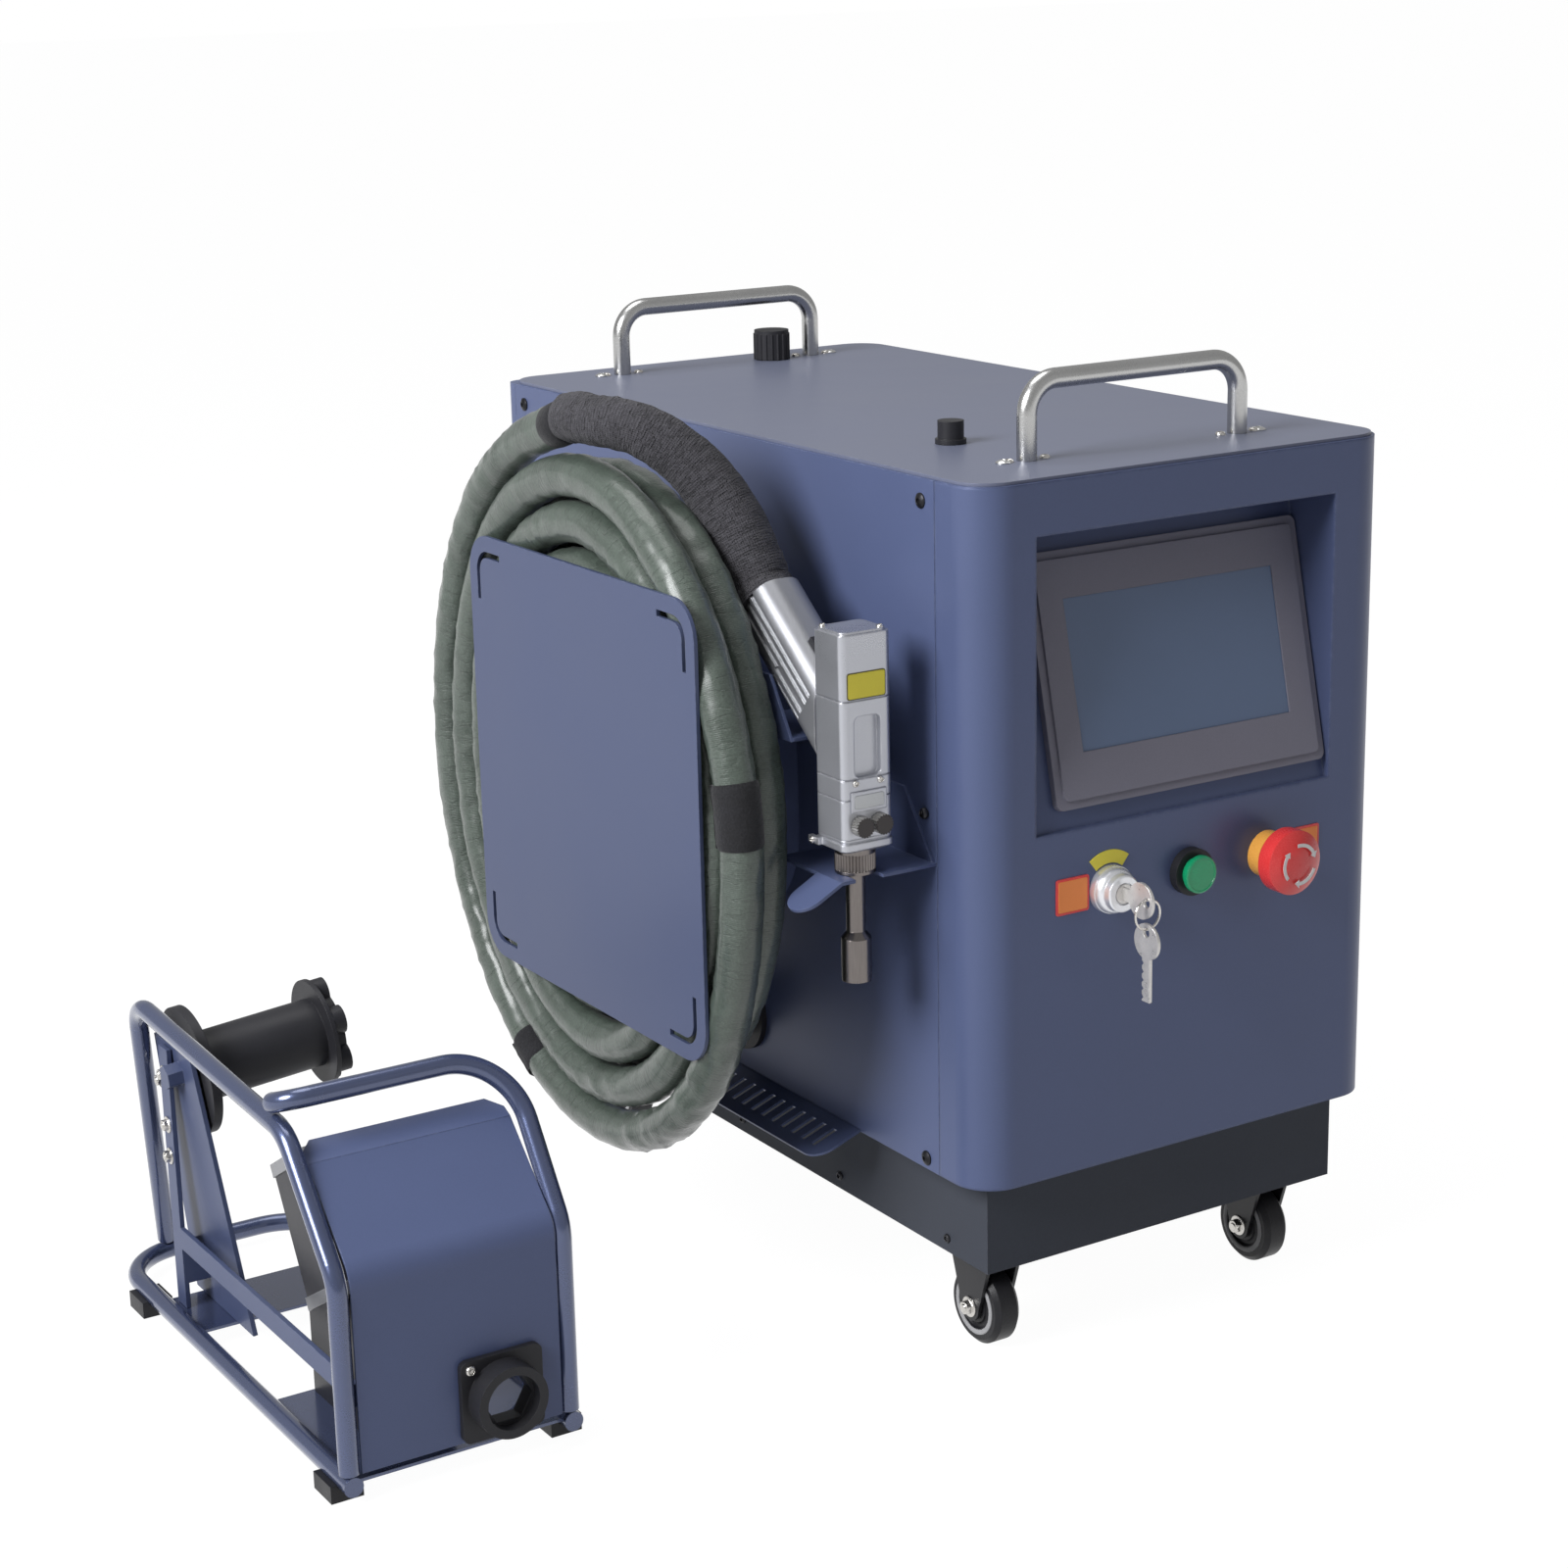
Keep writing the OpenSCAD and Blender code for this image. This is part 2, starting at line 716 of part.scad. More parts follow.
// Filler cap that turns on the tank's neck, with grip ribs round it
cap_rib_n = 18;
cap_rib_r = 0.8;
module filler_cap() {
    color(black) placed() translate([cap_x, cap_y, body_h + touch]) difference() {
        union() {
            cylinder(r = cap_r, h = cap_h);
            for (a = [0:cap_rib_n - 1]) rotate([0, 0, a * 360 / cap_rib_n])
                translate([cap_r, 0, 0]) cylinder(r = cap_rib_r, h = cap_h - cap_wall, $fn = 16);
        }
        translate([0, 0, -over]) cylinder(r = neck_r + fit, h = neck_up + over);
    }
}

// Fittings: the lid's plug, the mains inlet, the gas inlet and the signal socket
plug_x = 77;
plug_y = 134;
plug_r = 8;
plug_collar_r = 9.5;
plug_collar_t = 3;
plug_h = 14;
plug_hole_r = 6;
plug_deep = 12;
mains_r = 13;
gas_r = 7;
signal_r = 11;
inlet_x = 48;
mains_z = 200;
gas_z = 160;
signal_z = 170;
rear_holes = [[inlet_x, mains_z, mains_r], [inlet_x, gas_z, gas_r], [body_w - inlet_x, signal_z, signal_r]];
mains_len = 22;
gas_hex_r = 9;
gas_hex_t = 8;
gas_tail_r = 5;
socket_len = 14;
nut_t = 5;
module through_fitting(hole, flange, len) {
    translate([hole[0], body_d, hole[1]]) rotate([-90, 0, 0]) {
        translate([0, 0, -sheet_t - nut_t]) cylinder(r = hole[2], h = sheet_t + nut_t);
        cylinder(r = hole[2] + flange, h = nut_t);
        cylinder(r = hole[2] - flange / 2, h = len);
    }
}
fitting_flange = 4;
module fittings() {
    color(black) placed() {
        translate([plug_x, plug_y, body_h]) {
            cylinder(r = plug_collar_r, h = plug_collar_t);
            cylinder(r = plug_r, h = plug_h);
            translate([0, 0, -plug_deep]) cylinder(r = plug_hole_r, h = plug_deep);
        }
        through_fitting(rear_holes[0], fitting_flange, mains_len);
        through_fitting(rear_holes[1], fitting_flange, rear_out);
        through_fitting(rear_holes[2], fitting_flange, socket_len);
    }
}

// Casters: rigid forks in front, swivel forks behind, and their wheels
fork_gap = 1;
fork_t = 2.5;
fork_top_d = 42;
fork_foot_r = 9;
fork_plate_t = 3;
fork_plate_w = 2 * (wheel_w / 2 + fork_gap + fork_t);
fork_plate_d = 52;
hub_r_in = 13;
stem_r = 6;
stem_up = 16;
swivel_drop = 0.5;
module fork_cheek(dy, drop) {
    rotate([90, 0, 90]) linear_extrude(fork_t) {
        polygon([
            [-fork_top_d / 2, tray_z - drop - fork_plate_t], [fork_top_d / 2, tray_z - drop - fork_plate_t],
            [dy + fork_foot_r, wheel_r], [dy - fork_foot_r, wheel_r]
        ]);
        translate([dy, wheel_r]) circle(fork_foot_r);
    }
}
module fork(dy, drop) {
    translate([-fork_plate_w / 2, -fork_plate_d / 2, tray_z - drop - fork_plate_t])
        cube([fork_plate_w, fork_plate_d, fork_plate_t]);
    for (x = [-fork_plate_w / 2, fork_plate_w / 2 - fork_t]) translate([x, 0, 0]) fork_cheek(dy, drop);
    translate([-fork_plate_w / 2 - axle_nut, dy, wheel_r]) rotate([0, 90, 0])
        cylinder(r = axle_r, h = fork_plate_w + 2 * axle_nut);
}
axle_nut = 3;
module wheel() {
    difference() {
        rotate_extrude() difference() {
            polygon([
                [axle_r + fit, -wheel_w / 2], [wheel_r - tread_r, -wheel_w / 2], [wheel_r, -wheel_w / 2 + tread_r],
                [wheel_r, wheel_w / 2 - tread_r], [wheel_r - tread_r, wheel_w / 2], [axle_r + fit, wheel_w / 2]
            ]);
            for (s = [-1, 1]) translate([hub_r_in, s * wheel_w / 2]) circle(hub_groove);
        }
    }
}
tread_r = 3;
hub_groove = 2;
module wheel_at(x, y) {
    color(black) placed() translate([x, y, wheel_r]) rotate([0, 90, 0]) wheel();
}
module front_forks() {
    color(black) placed() for (x = [caster_x, body_w - caster_x]) translate([x, caster_y, 0]) fork(0, 0);
}
module swivel_fork(x) {
    color(black) placed() translate([x, body_d - swivel_y, 0]) {
        fork(caster_trail, swivel_drop);
        translate([0, 0, tray_z - swivel_drop - over]) cylinder(r = stem_r, h = stem_up + swivel_drop + over);
    }
}
module rear_fork_left() {
    swivel_fork(caster_x);
}
module rear_fork_right() {
    swivel_fork(body_w - caster_x);
}
module front_wheel_left() {
    wheel_at(caster_x, caster_y);
}
module front_wheel_right() {
    wheel_at(body_w - caster_x, caster_y);
}
module rear_wheel_left() {
    wheel_at(caster_x, body_d - swivel_y + caster_trail);
}
module rear_wheel_right() {
    wheel_at(body_w - caster_x, body_d - swivel_y + caster_trail);
}

// Emergency stop: yellow collar, sliding stem and the red head that twists on it
estop_x = key_x + 2 * control_pitch;
estop_collar_r = 14.5;
estop_collar_t = 10;
estop_stem_r = 5;
estop_deep = 26;
estop_head_t = 15;
estop_skirt = 5;
estop_dome_r = 45;
module estop_base() {
    color("#E8A23A") placed() facing_front(estop_x, control_z, 0) difference() {
        union() {
            cylinder(r = estop_collar_r, h = estop_collar_t);
            translate([0, 0, -estop_deep]) cylinder(r = control_r, h = estop_deep + over);
        }
        translate([0, 0, -estop_deep - over]) cylinder(r = estop_stem_r + fit, h = estop_deep + estop_collar_t + 2 * over);
    }
}
estop_head_z = estop_out - estop_head_t;
module estop_stem() {
    color(black) placed() facing_front(estop_x, control_z, 0)
        translate([0, 0, -estop_deep + estop_travel]) cylinder(r = estop_stem_r, h = estop_deep + estop_head_z);
}
module estop_head() {
    color("#C9262B") placed() facing_front(estop_x, control_z, 0) translate([0, 0, estop_head_z]) difference() {
        rotate_extrude() intersection() {
            translate([0, estop_head_t - estop_dome_r]) circle(estop_dome_r);
            square([estop_r, estop_head_t]);
        }
        translate([0, 0, -over]) cylinder(r = estop_stem_r + fit, h = estop_travel + over);
    }
}

// Start button: black bezel and the green lens that slides in it
start_x = key_x + control_pitch;
start_bezel_r = 14.5;
start_bezel_t = 6;
start_lens_r = 9.5;
start_lens_out = 12;
start_deep = 22;
module start_bezel() {
    color(black) placed() facing_front(start_x, control_z, 0) difference() {
        union() {
            cylinder(r = start_bezel_r, h = start_bezel_t);
            translate([0, 0, -start_deep]) cylinder(r = control_r, h = start_deep + over);
        }
        translate([0, 0, -start_deep - over]) cylinder(r = start_lens_r + fit, h = start_deep + start_bezel_t + 2 * over);
    }
}
module start_button() {
    color("#1FA66B") placed() facing_front(start_x, control_z, 0)
        translate([0, 0, -start_deep + start_travel]) cylinder(r = start_lens_r, h = start_deep - start_travel + start_lens_out);
}

// Key switch: silver housing, the key that turns in it, its ring and the spare key
key_deep = 24;
key_rotor_r = 6;
module key_housing() {
    color(steel) placed() facing_front(key_x, control_z, 0) difference() {
        union() {
            cylinder(r = key_bezel_r, h = key_bezel_t);
            cylinder(r = key_barrel_r, h = key_barrel_len - over);
            translate([0, 0, -key_deep]) cylinder(r = control_r, h = key_deep + over);
        }
        translate([0, 0, -key_deep - over]) cylinder(r = key_rotor_r + fit, h = key_deep + key_barrel_len + 2 * over);
    }
}
key_neck_w = 8;
module key_bow() {
    difference() {
        circle(key_bow_r);
        translate([0, key_bow_r - key_hole_edge - key_hole_r]) circle(key_hole_r);
    }
}
module key() {
    color(steel) placed() facing_front(key_x, control_z, 0) {
        translate([0, 0, -key_deep]) cylinder(r = key_rotor_r, h = key_deep + key_barrel_len);
        translate([-key_t / 2, 0, 0]) rotate([90, 0, 90]) linear_extrude(key_t) {
            translate([-key_neck_w / 2, key_barrel_len - over]) square([key_neck_w, key_stem_len + 2 * over]);
            translate([0, key_barrel_len + key_stem_len + key_bow_r]) key_bow();
        }
    }
}
ring_z = control_z - ring_drop;
module key_ring() {
    color(steel) placed() translate([key_x, -key_hole_y, ring_z]) rotate([90, 0, 0])
        rotate_extrude() translate([ring_r, 0]) circle(ring_wire_r, $fn = 16);
}
spare_hole_z = ring_z - ring_r + ring_wire_r + touch - key_hole_r;
spare_bow_z = spare_hole_z - key_bow_r + key_hole_edge + key_hole_r;
blade_len = 26;
blade_w = 7;
tooth_n = 5;
tooth_deep = 1.6;
module spare_key() {
    color(steel) placed() translate([key_x - key_t / 2, -key_hole_y, spare_bow_z]) rotate([90, 0, 90])
        linear_extrude(key_t) {
            key_bow();
            difference() {
                translate([-blade_w / 2, -key_bow_r - blade_len]) square([blade_w, blade_len + over]);
                for (i = [0:tooth_n - 1])
                    translate([blade_w / 2, -key_bow_r - blade_len + (i + 0.5) * blade_len / tooth_n])
                        circle(tooth_deep, $fn = 4);
            }
        }
}

// Hanger plate with round corners and four curved strap slots
hanger_r = 24;
strap_w = 4;
strap_leg = 18;
strap_in = 10;
strap_r = 14;
module strap_slot() {
    translate([strap_in, strap_in + strap_r]) square([strap_w, strap_leg]);
    translate([strap_in + strap_r, strap_in]) square([strap_leg, strap_w]);
    intersection() {
        translate([strap_in + strap_r, strap_in + strap_r]) difference() {
            circle(strap_r);
            circle(strap_r - strap_w);
        }
        translate([strap_in - over, strap_in - over]) square([strap_r + over, strap_r + over]);
    }
}
module hanger_plate() {
    color(paint) placed() translate([-hanger_out - hanger_t, hanger_y, hanger_z]) rotate([90, 0, 90])
        linear_extrude(hanger_t) difference() {
            translate([-hanger_w / 2, -hanger_h / 2]) round_rect(hanger_w, hanger_h, hanger_r);
            for (mx = [0, 1], my = [0, 1]) mirror([mx, 0]) mirror([0, my])
                translate([-hanger_w / 2, -hanger_h / 2]) strap_slot();
        }
}

// Hanger drum: the bent sheet oval between panel and plate that the loops hang on
drum_t = 2;
drum_low = 240;
coil_y = 258;
coil_z = 332;
coil_w = 200;
coil_h = 230;
coil_pitch = 28.5;
coil_start = 0.03;
coil_end = 6.2;
coil_peak = 3.6;
coil_near = 82;
coil_far = 110;
climb_half = 0.25;
last_top = 4;
drum_ease = 2;
drum_top_z = coil_z + coil_h - coil_pitch * (2 * coil_peak - last_top) - hose_r - drum_ease;
module drum_outline(inset) {
    r = drum_r - inset;
    translate([-r, drum_low + drum_r]) square([2 * r, drum_top_z - drum_low - 2 * drum_r]);
    for (z = [drum_low + drum_r, drum_top_z - drum_r]) translate([0, z]) circle(r);
}
module hanger_drum() {
    color(paint) placed() translate([-hanger_out, coil_y, 0]) rotate([90, 0, 90])
        linear_extrude(hanger_out) difference() {
            drum_outline(0);
            drum_outline(drum_t);
        }
}

// Centre line of the hose coil: two layers that spiral in, climb and spiral out again
function coil_t(u) = u < coil_peak ? u : 2 * coil_peak - u;
function coil_share(u) = min(1, max(0, (u - coil_peak + climb_half) / (2 * climb_half)));
function coil_x(u) = -coil_far + (coil_far - coil_near) * smooth(coil_share(u));
function smooth(s) = s * s * (3 - 2 * s);
function coil_point(u) = [
    coil_x(u),
    coil_y + (coil_w - coil_pitch * coil_t(u)) * sin(360 * u),
    coil_z + (coil_h - coil_pitch * coil_t(u)) * cos(360 * u)
];
coil_rings = 24;
coil_sides = 6;
coil_steps = floor((coil_end - coil_start) * coil_rings);
coil_bends = [for (i = [0:coil_steps]) coil_point(coil_start + (coil_end - coil_start) * i / coil_steps)];
coil_in = unit(coil_bends[0] - coil_bends[1]);
coil_out = unit(coil_bends[coil_steps] - coil_bends[coil_steps - 1]);
coil_top = coil_bends[0] + 2 * hose_r * coil_in;
coil_tail = coil_bends[coil_steps] + 2 * hose_r * coil_out;
coil_path = concat([coil_top], coil_bends, [coil_tail]);

// A tube through a list of points: rings square to the path, joined by triangles
function way(p, i) = unit(p[min(i + 1, len(p) - 1)] - p[max(i - 1, 0)]);
function ring_side(d) = unit(cross(d, [1, 0, 0]));
function ring_points(p, i, r, n) = [
    for (k = [0:n - 1]) p[i] + r[i] * (cos(360 * k / n) * ring_side(way(p, i))
        + sin(360 * k / n) * cross(way(p, i), ring_side(way(p, i))))
];
module path_tube(p, r, n) {
    last = len(p) - 1;
    points = [for (i = [0:last]) each ring_points(p, i, r, n)];
    walls = [for (i = [0:last - 1], k = [0:n - 1]) each [
        [i * n + k, i * n + (k + 1) % n, (i + 1) * n + k],
        [i * n + (k + 1) % n, (i + 1) * n + (k + 1) % n, (i + 1) * n + k]
    ]];
    ends = [for (k = [1:n - 2]) each [[0, k + 1, k], [last * n, last * n + k, last * n + k + 1]]];
    polyhedron(points, concat(walls, ends));
}
function same(r, n) = [for (i = [0:n - 1]) r];
module hose_coil() {
    color(hose_green) placed() path_tube(coil_path, same(hose_r, len(coil_path)), coil_sides);
}

// Least gap of the coil to itself, measured on the points of its centre line
coil_gap = min([for (i = [0:coil_steps], j = [i + coil_rings / 2:1:coil_steps])
    norm(coil_bends[i] - coil_bends[j])]) - 2 * hose_r;
echo(least_gap_of_the_coil = coil_gap);

// Route of the hose from the gun's handle to the coil, points chosen by hand
lead_route = [
    [-48, 160, 486], [-53, 174, 511], [-62, 188, 534], [-74, 201, 551], [-87, 213, 562],
    [-98, 226, 567], [-106, 242, 568]
];
run_in = 12;
wrap_far = 1.15;
wrap_near = 1.5;
cord_sides = 10;
function wrap_r(share) = hose_r * (wrap_near + (wrap_far - wrap_near) * share);
module hose_lead() {
    start = grip_end + fit * grip_way;
    path = concat([start, start + run_in * grip_way], lead_route,
        [coil_top + run_in * coil_in, coil_top + fit * coil_in]);
    n = len(path);
    color(wrap_black) placed() path_tube(path, [for (i = [0:n - 1]) wrap_r(i / (n - 1))], cord_sides);
}
// Hose port: the rubber elbow that leads the hose into the left panel
port_y = 262;
port_z = 168;
port_out = 34;
port_bend = 30;
port_r = 16;
port_reach = 50;
port_flange_r = 26;
port_flange_t = 4;
port_hole_r = 12;
port_mouth = [-port_out, port_y + port_reach, port_z];
module hose_port() {
    color(black) placed() {
        bent_tube([port_mouth, [-port_out, port_y, port_z], [0, port_y, port_z]], port_r, port_bend);
        translate([-port_flange_t, port_y, port_z]) rotate([0, 90, 0])
            cylinder(r = port_flange_r, h = port_flange_t);
    }
}

// The hose runs from the coil to the port along one smooth curve between two straight ends
tail_steps = 14;
tail_pull = 150;
port_pull = 110;
tail_a = coil_tail + run_in * coil_out;
tail_d = port_mouth + [0, run_in, 0];
function tail_point(s) = (1 - s) ^ 3 * tail_a + 3 * s * (1 - s) ^ 2 * (tail_a + tail_pull * coil_out)
    + 3 * s ^ 2 * (1 - s) * (tail_d + [0, port_pull, 0]) + s ^ 3 * tail_d;
module hose_tail() {
    path = concat([coil_tail + fit * coil_out], [for (i = [0:tail_steps]) tail_point(i / tail_steps)],
        [port_mouth + [0, fit, 0]]);
    color(hose_green) placed() path_tube(path, same(hose_r, len(path)), cord_sides);
}

// Gun brackets: the notched plate under the head and the hook under the handle
bracket_t = 2;
rest_front = 15;
rest_back = 52;
rest_len = 66;
rest_lip = 30;
rest_lip_tilt = 28;
notch_r = 9.5;
back_up = 40;
hook_y = 91;
hook_d = 61;
hook_len = 65.5;
hook_up = 34;
hook_top_d = 16;
hook_down = 30;
grip_drop = 85;
grip_low_z = gun_top - grip_drop;
hook_seat_z = grip_low_z + (hook_y - gun_y - head_d / 2) * tan(grip_slope);
hook_z = hook_seat_z - touch;
module rest_plate() {
    difference() {
        union() {
            translate([-rest_len, gun_y - rest_front, rest_z - bracket_t])
                cube([rest_len, rest_front + rest_back, bracket_t]);
            translate([-rest_len, 0, rest_z]) rotate([0, -rest_lip_tilt, 0]) {
                translate([-rest_lip + rest_lip_r, gun_y - rest_front, -bracket_t])
                    cube([rest_lip - rest_lip_r, rest_lip_w, bracket_t]);
                translate([-rest_lip + rest_lip_r, gun_y - rest_front + rest_lip_w / 2, -bracket_t])
                    cylinder(r = rest_lip_w / 2, h = bracket_t);
            }
        }
        translate([-gun_out, gun_y, rest_z - bracket_t - over]) cylinder(r = notch_r, h = bracket_t + 2 * over);
        translate([-gun_out - notch_r, gun_y - rest_front - over, rest_z - bracket_t - over])
            cube([2 * notch_r, rest_front + over, bracket_t + 2 * over]);
    }
    translate([-bracket_t, 0, 0]) rotate([90, 0, 90]) linear_extrude(bracket_t) polygon([
        [gun_y - rest_front, rest_z - bracket_t], [gun_y + rest_back, rest_z - bracket_t],
        [gun_y + rest_back - back_top, rest_z + back_up], [gun_y + back_top, rest_z + back_up]
    ]);
}
back_top = 16;
rest_lip_w = 26;
rest_lip_r = 13;
module hook_plate() {
    translate([-hook_len, hook_y, hook_z - bracket_t]) cube([hook_len, hook_d, bracket_t]);
    translate([-hook_len - bracket_t, 0, 0]) rotate([90, 0, 90]) linear_extrude(bracket_t) polygon([
        [hook_y, hook_z - bracket_t], [hook_y + hook_d, hook_z - bracket_t],
        [hook_y + (hook_d + hook_top_d) / 2, hook_z + hook_up], [hook_y + (hook_d - hook_top_d) / 2, hook_z + hook_up]
    ]);
    translate([-bracket_t, hook_y, hook_z - hook_down]) cube([bracket_t, hook_d, hook_down]);
}
module gun_brackets() {
    color(paint) placed() {
        rest_plate();
        hook_plate();
    }
}

// Gun head: the square column with its cap line, lens pocket, drawer slot and chamfered foot
head_z = gun_top - head_h;
head_r = 4;
cap_line_drop = 40;
line_deep = 0.6;
line_h = 0.8;
pocket_w = 18;
pocket_h = 36;
pocket_deep = 4;
pocket_drop = 67;
pocket_mid_z = gun_top - pocket_drop;
segment_share = [0.71, 0.81];
foot_chamfer = 5;
drawer_w = 24;
drawer_h = 12;
drawer_d = 26;
drawer_up = 22;
drawer_mid_z = head_z + drawer_up;
thumb_r = 6;
thumb_len = 7;
thumb_pin_r = 2.5;
thumb_deep = 10;
thumb_gap = 13;
thumb_up = 8;
thumb_z = head_z + thumb_up;
module head_column(w, d, z0, h, r) {
    translate([-gun_out - w / 2, gun_y - d / 2, z0]) linear_extrude(h) round_rect(w, d, r);
}
module gun_head() {
    color(gun_metal) placed() difference() {
        union() {
            head_column(head_w, head_d, head_z, head_h - cap_edge, head_r);
            head_column(head_w - 2 * cap_edge, head_d - 2 * cap_edge, gun_top - cap_edge - over, cap_edge + over, head_r);
        }
        for (z = concat([gun_top - cap_line_drop], [for (s = segment_share) gun_top - s * head_h])) difference() {
            head_column(head_w + over, head_d + over, z, line_h, head_r);
            head_column(head_w - 2 * line_deep, head_d - 2 * line_deep, z - over, line_h + 2 * over, head_r);
        }
        translate([-gun_out - pocket_w / 2, gun_y - head_d / 2 + pocket_deep, pocket_mid_z - pocket_h / 2])
            rotate([90, 0, 0]) linear_extrude(pocket_deep + over) round_rect(pocket_w, pocket_h, head_r);
        translate([-gun_out - drawer_w / 2 - fit, gun_y - head_d / 2 - over, drawer_mid_z - drawer_h / 2 - fit])
            cube([drawer_w + 2 * fit, drawer_d + over, drawer_h + 2 * fit]);
        for (s = [-1, 1]) translate([-gun_out + s * thumb_gap / 2, gun_y - head_d / 2 - over, thumb_z])
            rotate([-90, 0, 0]) cylinder(r = thumb_pin_r + fit, h = thumb_deep + over + touch);
    }
}
cap_edge = 1.5;

// Gun handle: a round-cornered grip that slopes up from the head's back face
grip_w = 33;
grip_corner = 13;
grip_mid_z = grip_low_z + grip_depth / 2 / cos(grip_slope);
grip_way = [0, cos(grip_slope), sin(grip_slope)];
grip_end = [-gun_out, gun_y + head_d / 2, grip_mid_z] + grip_len * grip_way;
groove_r = 1.6;
groove_n = 3;
groove_pitch = 6;
short_groove = 34;
groove_start = 14;
grip_run = 30;
module along_grip() {
    translate([-gun_out, gun_y + head_d / 2, grip_mid_z]) rotate([-90 + grip_slope, 0, 0]) children();
}
module gun_handle() {
    color(gun_metal) placed() difference() {
        along_grip() translate([0, 0, -grip_run]) linear_extrude(grip_len + grip_run)
            translate([-grip_w / 2, -grip_depth / 2]) round_rect(grip_w, grip_depth, grip_corner);
        translate([-gun_out - head_w, gun_y + head_d / 2 - head_w * 2, head_z - head_w])
            cube([2 * head_w, head_w * 2, head_h + 2 * head_w]);
        along_grip() for (s = [-1, 1]) {
            for (i = [0:groove_n - 1]) {
                translate([s * grip_w / 2, -grip_depth / 2 + groove_drop + i * groove_pitch, groove_start])
                    cylinder(r = groove_r, h = grip_len, $fn = 16);
                translate([s * grip_w / 2, groove_top - i * groove_pitch, groove_start])
                    cylinder(r = groove_r, h = short_groove, $fn = 16);
            }
        }
        along_grip() translate([-trigger_w / 2 - fit, -grip_depth / 2 - over, trigger_at - fit])
            cube([trigger_w + 2 * fit, trigger_deep + over, trigger_len + 2 * fit]);
    }
}
groove_drop = 12;
groove_top = 17;

// Trigger on the handle's upper side, behind the head
trigger_w = 12;
trigger_len = 20;
trigger_at = 24;
trigger_deep = 9;
trigger_out = 3.5;
trigger_travel = 2.5;
module gun_trigger() {
    color(black) placed() along_grip()
        translate([-trigger_w / 2, -grip_depth / 2 - trigger_out, trigger_at])
            cube([trigger_w, trigger_out + trigger_deep - trigger_travel - touch, trigger_len]);
}

// Nozzle: knurled collar, tube and copper-coloured tip, with one bore right through
collar_r = 12;
collar_h = 14;
collar_teeth = 36;
tube_out_r = 5.8;
tip_r = 9;
tip_h = 30;
tip_shoulder = 4;
tube_h = 36;
nozzle_low = rest_z - tube_h - tip_h;
module gun_nozzle() {
    color(steel) placed() translate([-gun_out, gun_y, 0]) difference() {
        union() {
            translate([0, 0, rest_z + touch]) difference() {
                cylinder(r = collar_r, h = collar_h);
                for (a = [0:collar_teeth - 1]) rotate([0, 0, a * 360 / collar_teeth])
                    translate([collar_r, 0, collar_edge]) cylinder(r = knurl_r, h = collar_h - 2 * collar_edge, $fn = 4);
            }
            translate([0, 0, rest_z + touch + collar_h])
                cylinder(r1 = collar_r, r2 = head_d / 2 - foot_chamfer / 2, h = head_z - rest_z - touch - collar_h);
            translate([0, 0, rest_z - tube_h]) cylinder(r = tube_out_r, h = tube_h + over);
            translate([0, 0, rest_z - tube_h - tip_shoulder])
                cylinder(r1 = tip_r, r2 = tube_out_r, h = tip_shoulder);
            translate([0, 0, nozzle_low]) cylinder(r = tip_r, h = tip_h - tip_shoulder);
        }
        translate([0, 0, nozzle_low - over]) cylinder(r = nozzle_bore_r, h = head_z - nozzle_low + 2 * over);
    }
}
collar_edge = 2;
knurl_r = 0.8;

// Lens drawer that pulls out of the head's front, and the two thumb screws below it
module lens_drawer() {
    color(gun_metal) placed()
        translate([-gun_out - drawer_w / 2, gun_y - head_d / 2 - drawer_lip, drawer_mid_z - drawer_h / 2])
            difference() {
                cube([drawer_w, drawer_d + drawer_lip - touch, drawer_h]);
                translate([drawer_w / 2, drawer_lip + drawer_d / 2, -over]) cylinder(r = lens_r, h = drawer_h + 2 * over);
            }
}
drawer_lip = 1;
lens_r = 8;
module thumb_screw(side) {
    color("#55585E") placed() translate([-gun_out + side * thumb_gap / 2, gun_y - head_d / 2 - touch, thumb_z])
        rotate([90, 0, 0]) {
            difference() {
                cylinder(r = thumb_r, h = thumb_len);
                for (a = [0:thumb_teeth - 1]) rotate([0, 0, a * 360 / thumb_teeth])
                    translate([thumb_r, 0, -over]) cylinder(r = knurl_r, h = thumb_len + 2 * over, $fn = 4);
            }
            translate([0, 0, -thumb_deep]) cylinder(r = thumb_pin_r, h = thumb_deep + over);
        }
}
thumb_teeth = 20;
module thumb_screw_left() {
    thumb_screw(-1);
}
module thumb_screw_right() {
    thumb_screw(1);
}

// The feeder's pieces are drawn from the foot of its left front tube
module feeder() {
    placed() translate([-feeder_out, feeder_y, 0]) children();
}

// Feeder side: the bent tube loop, its flat upright and its middle rail
leg_z = 134;
knee_y = 60;
knee_z = 204;
feeder_bend = 28;
rear_y = 290;
lean_x = 34;
lean_sink = 2;
flat_t = 3;
flat_w = 14;
upright_x = 9;
upright_y = 268;
middle_z = 54;
function side_tube_z(y) = knee_z + (y - knee_y) * (feeder_h - knee_z) / (rear_y - knee_y);
module feeder_side() {
    color(paint) feeder()
        bent_tube([
            [0, 0, rail_z + tube_r + touch], [0, 0, leg_z], [0, knee_y, knee_z], [0, rear_y, feeder_h],
            [lean_x, feeder_len, rail_z + tube_r + lean_sink + touch]
        ], tube_r, feeder_bend);
}

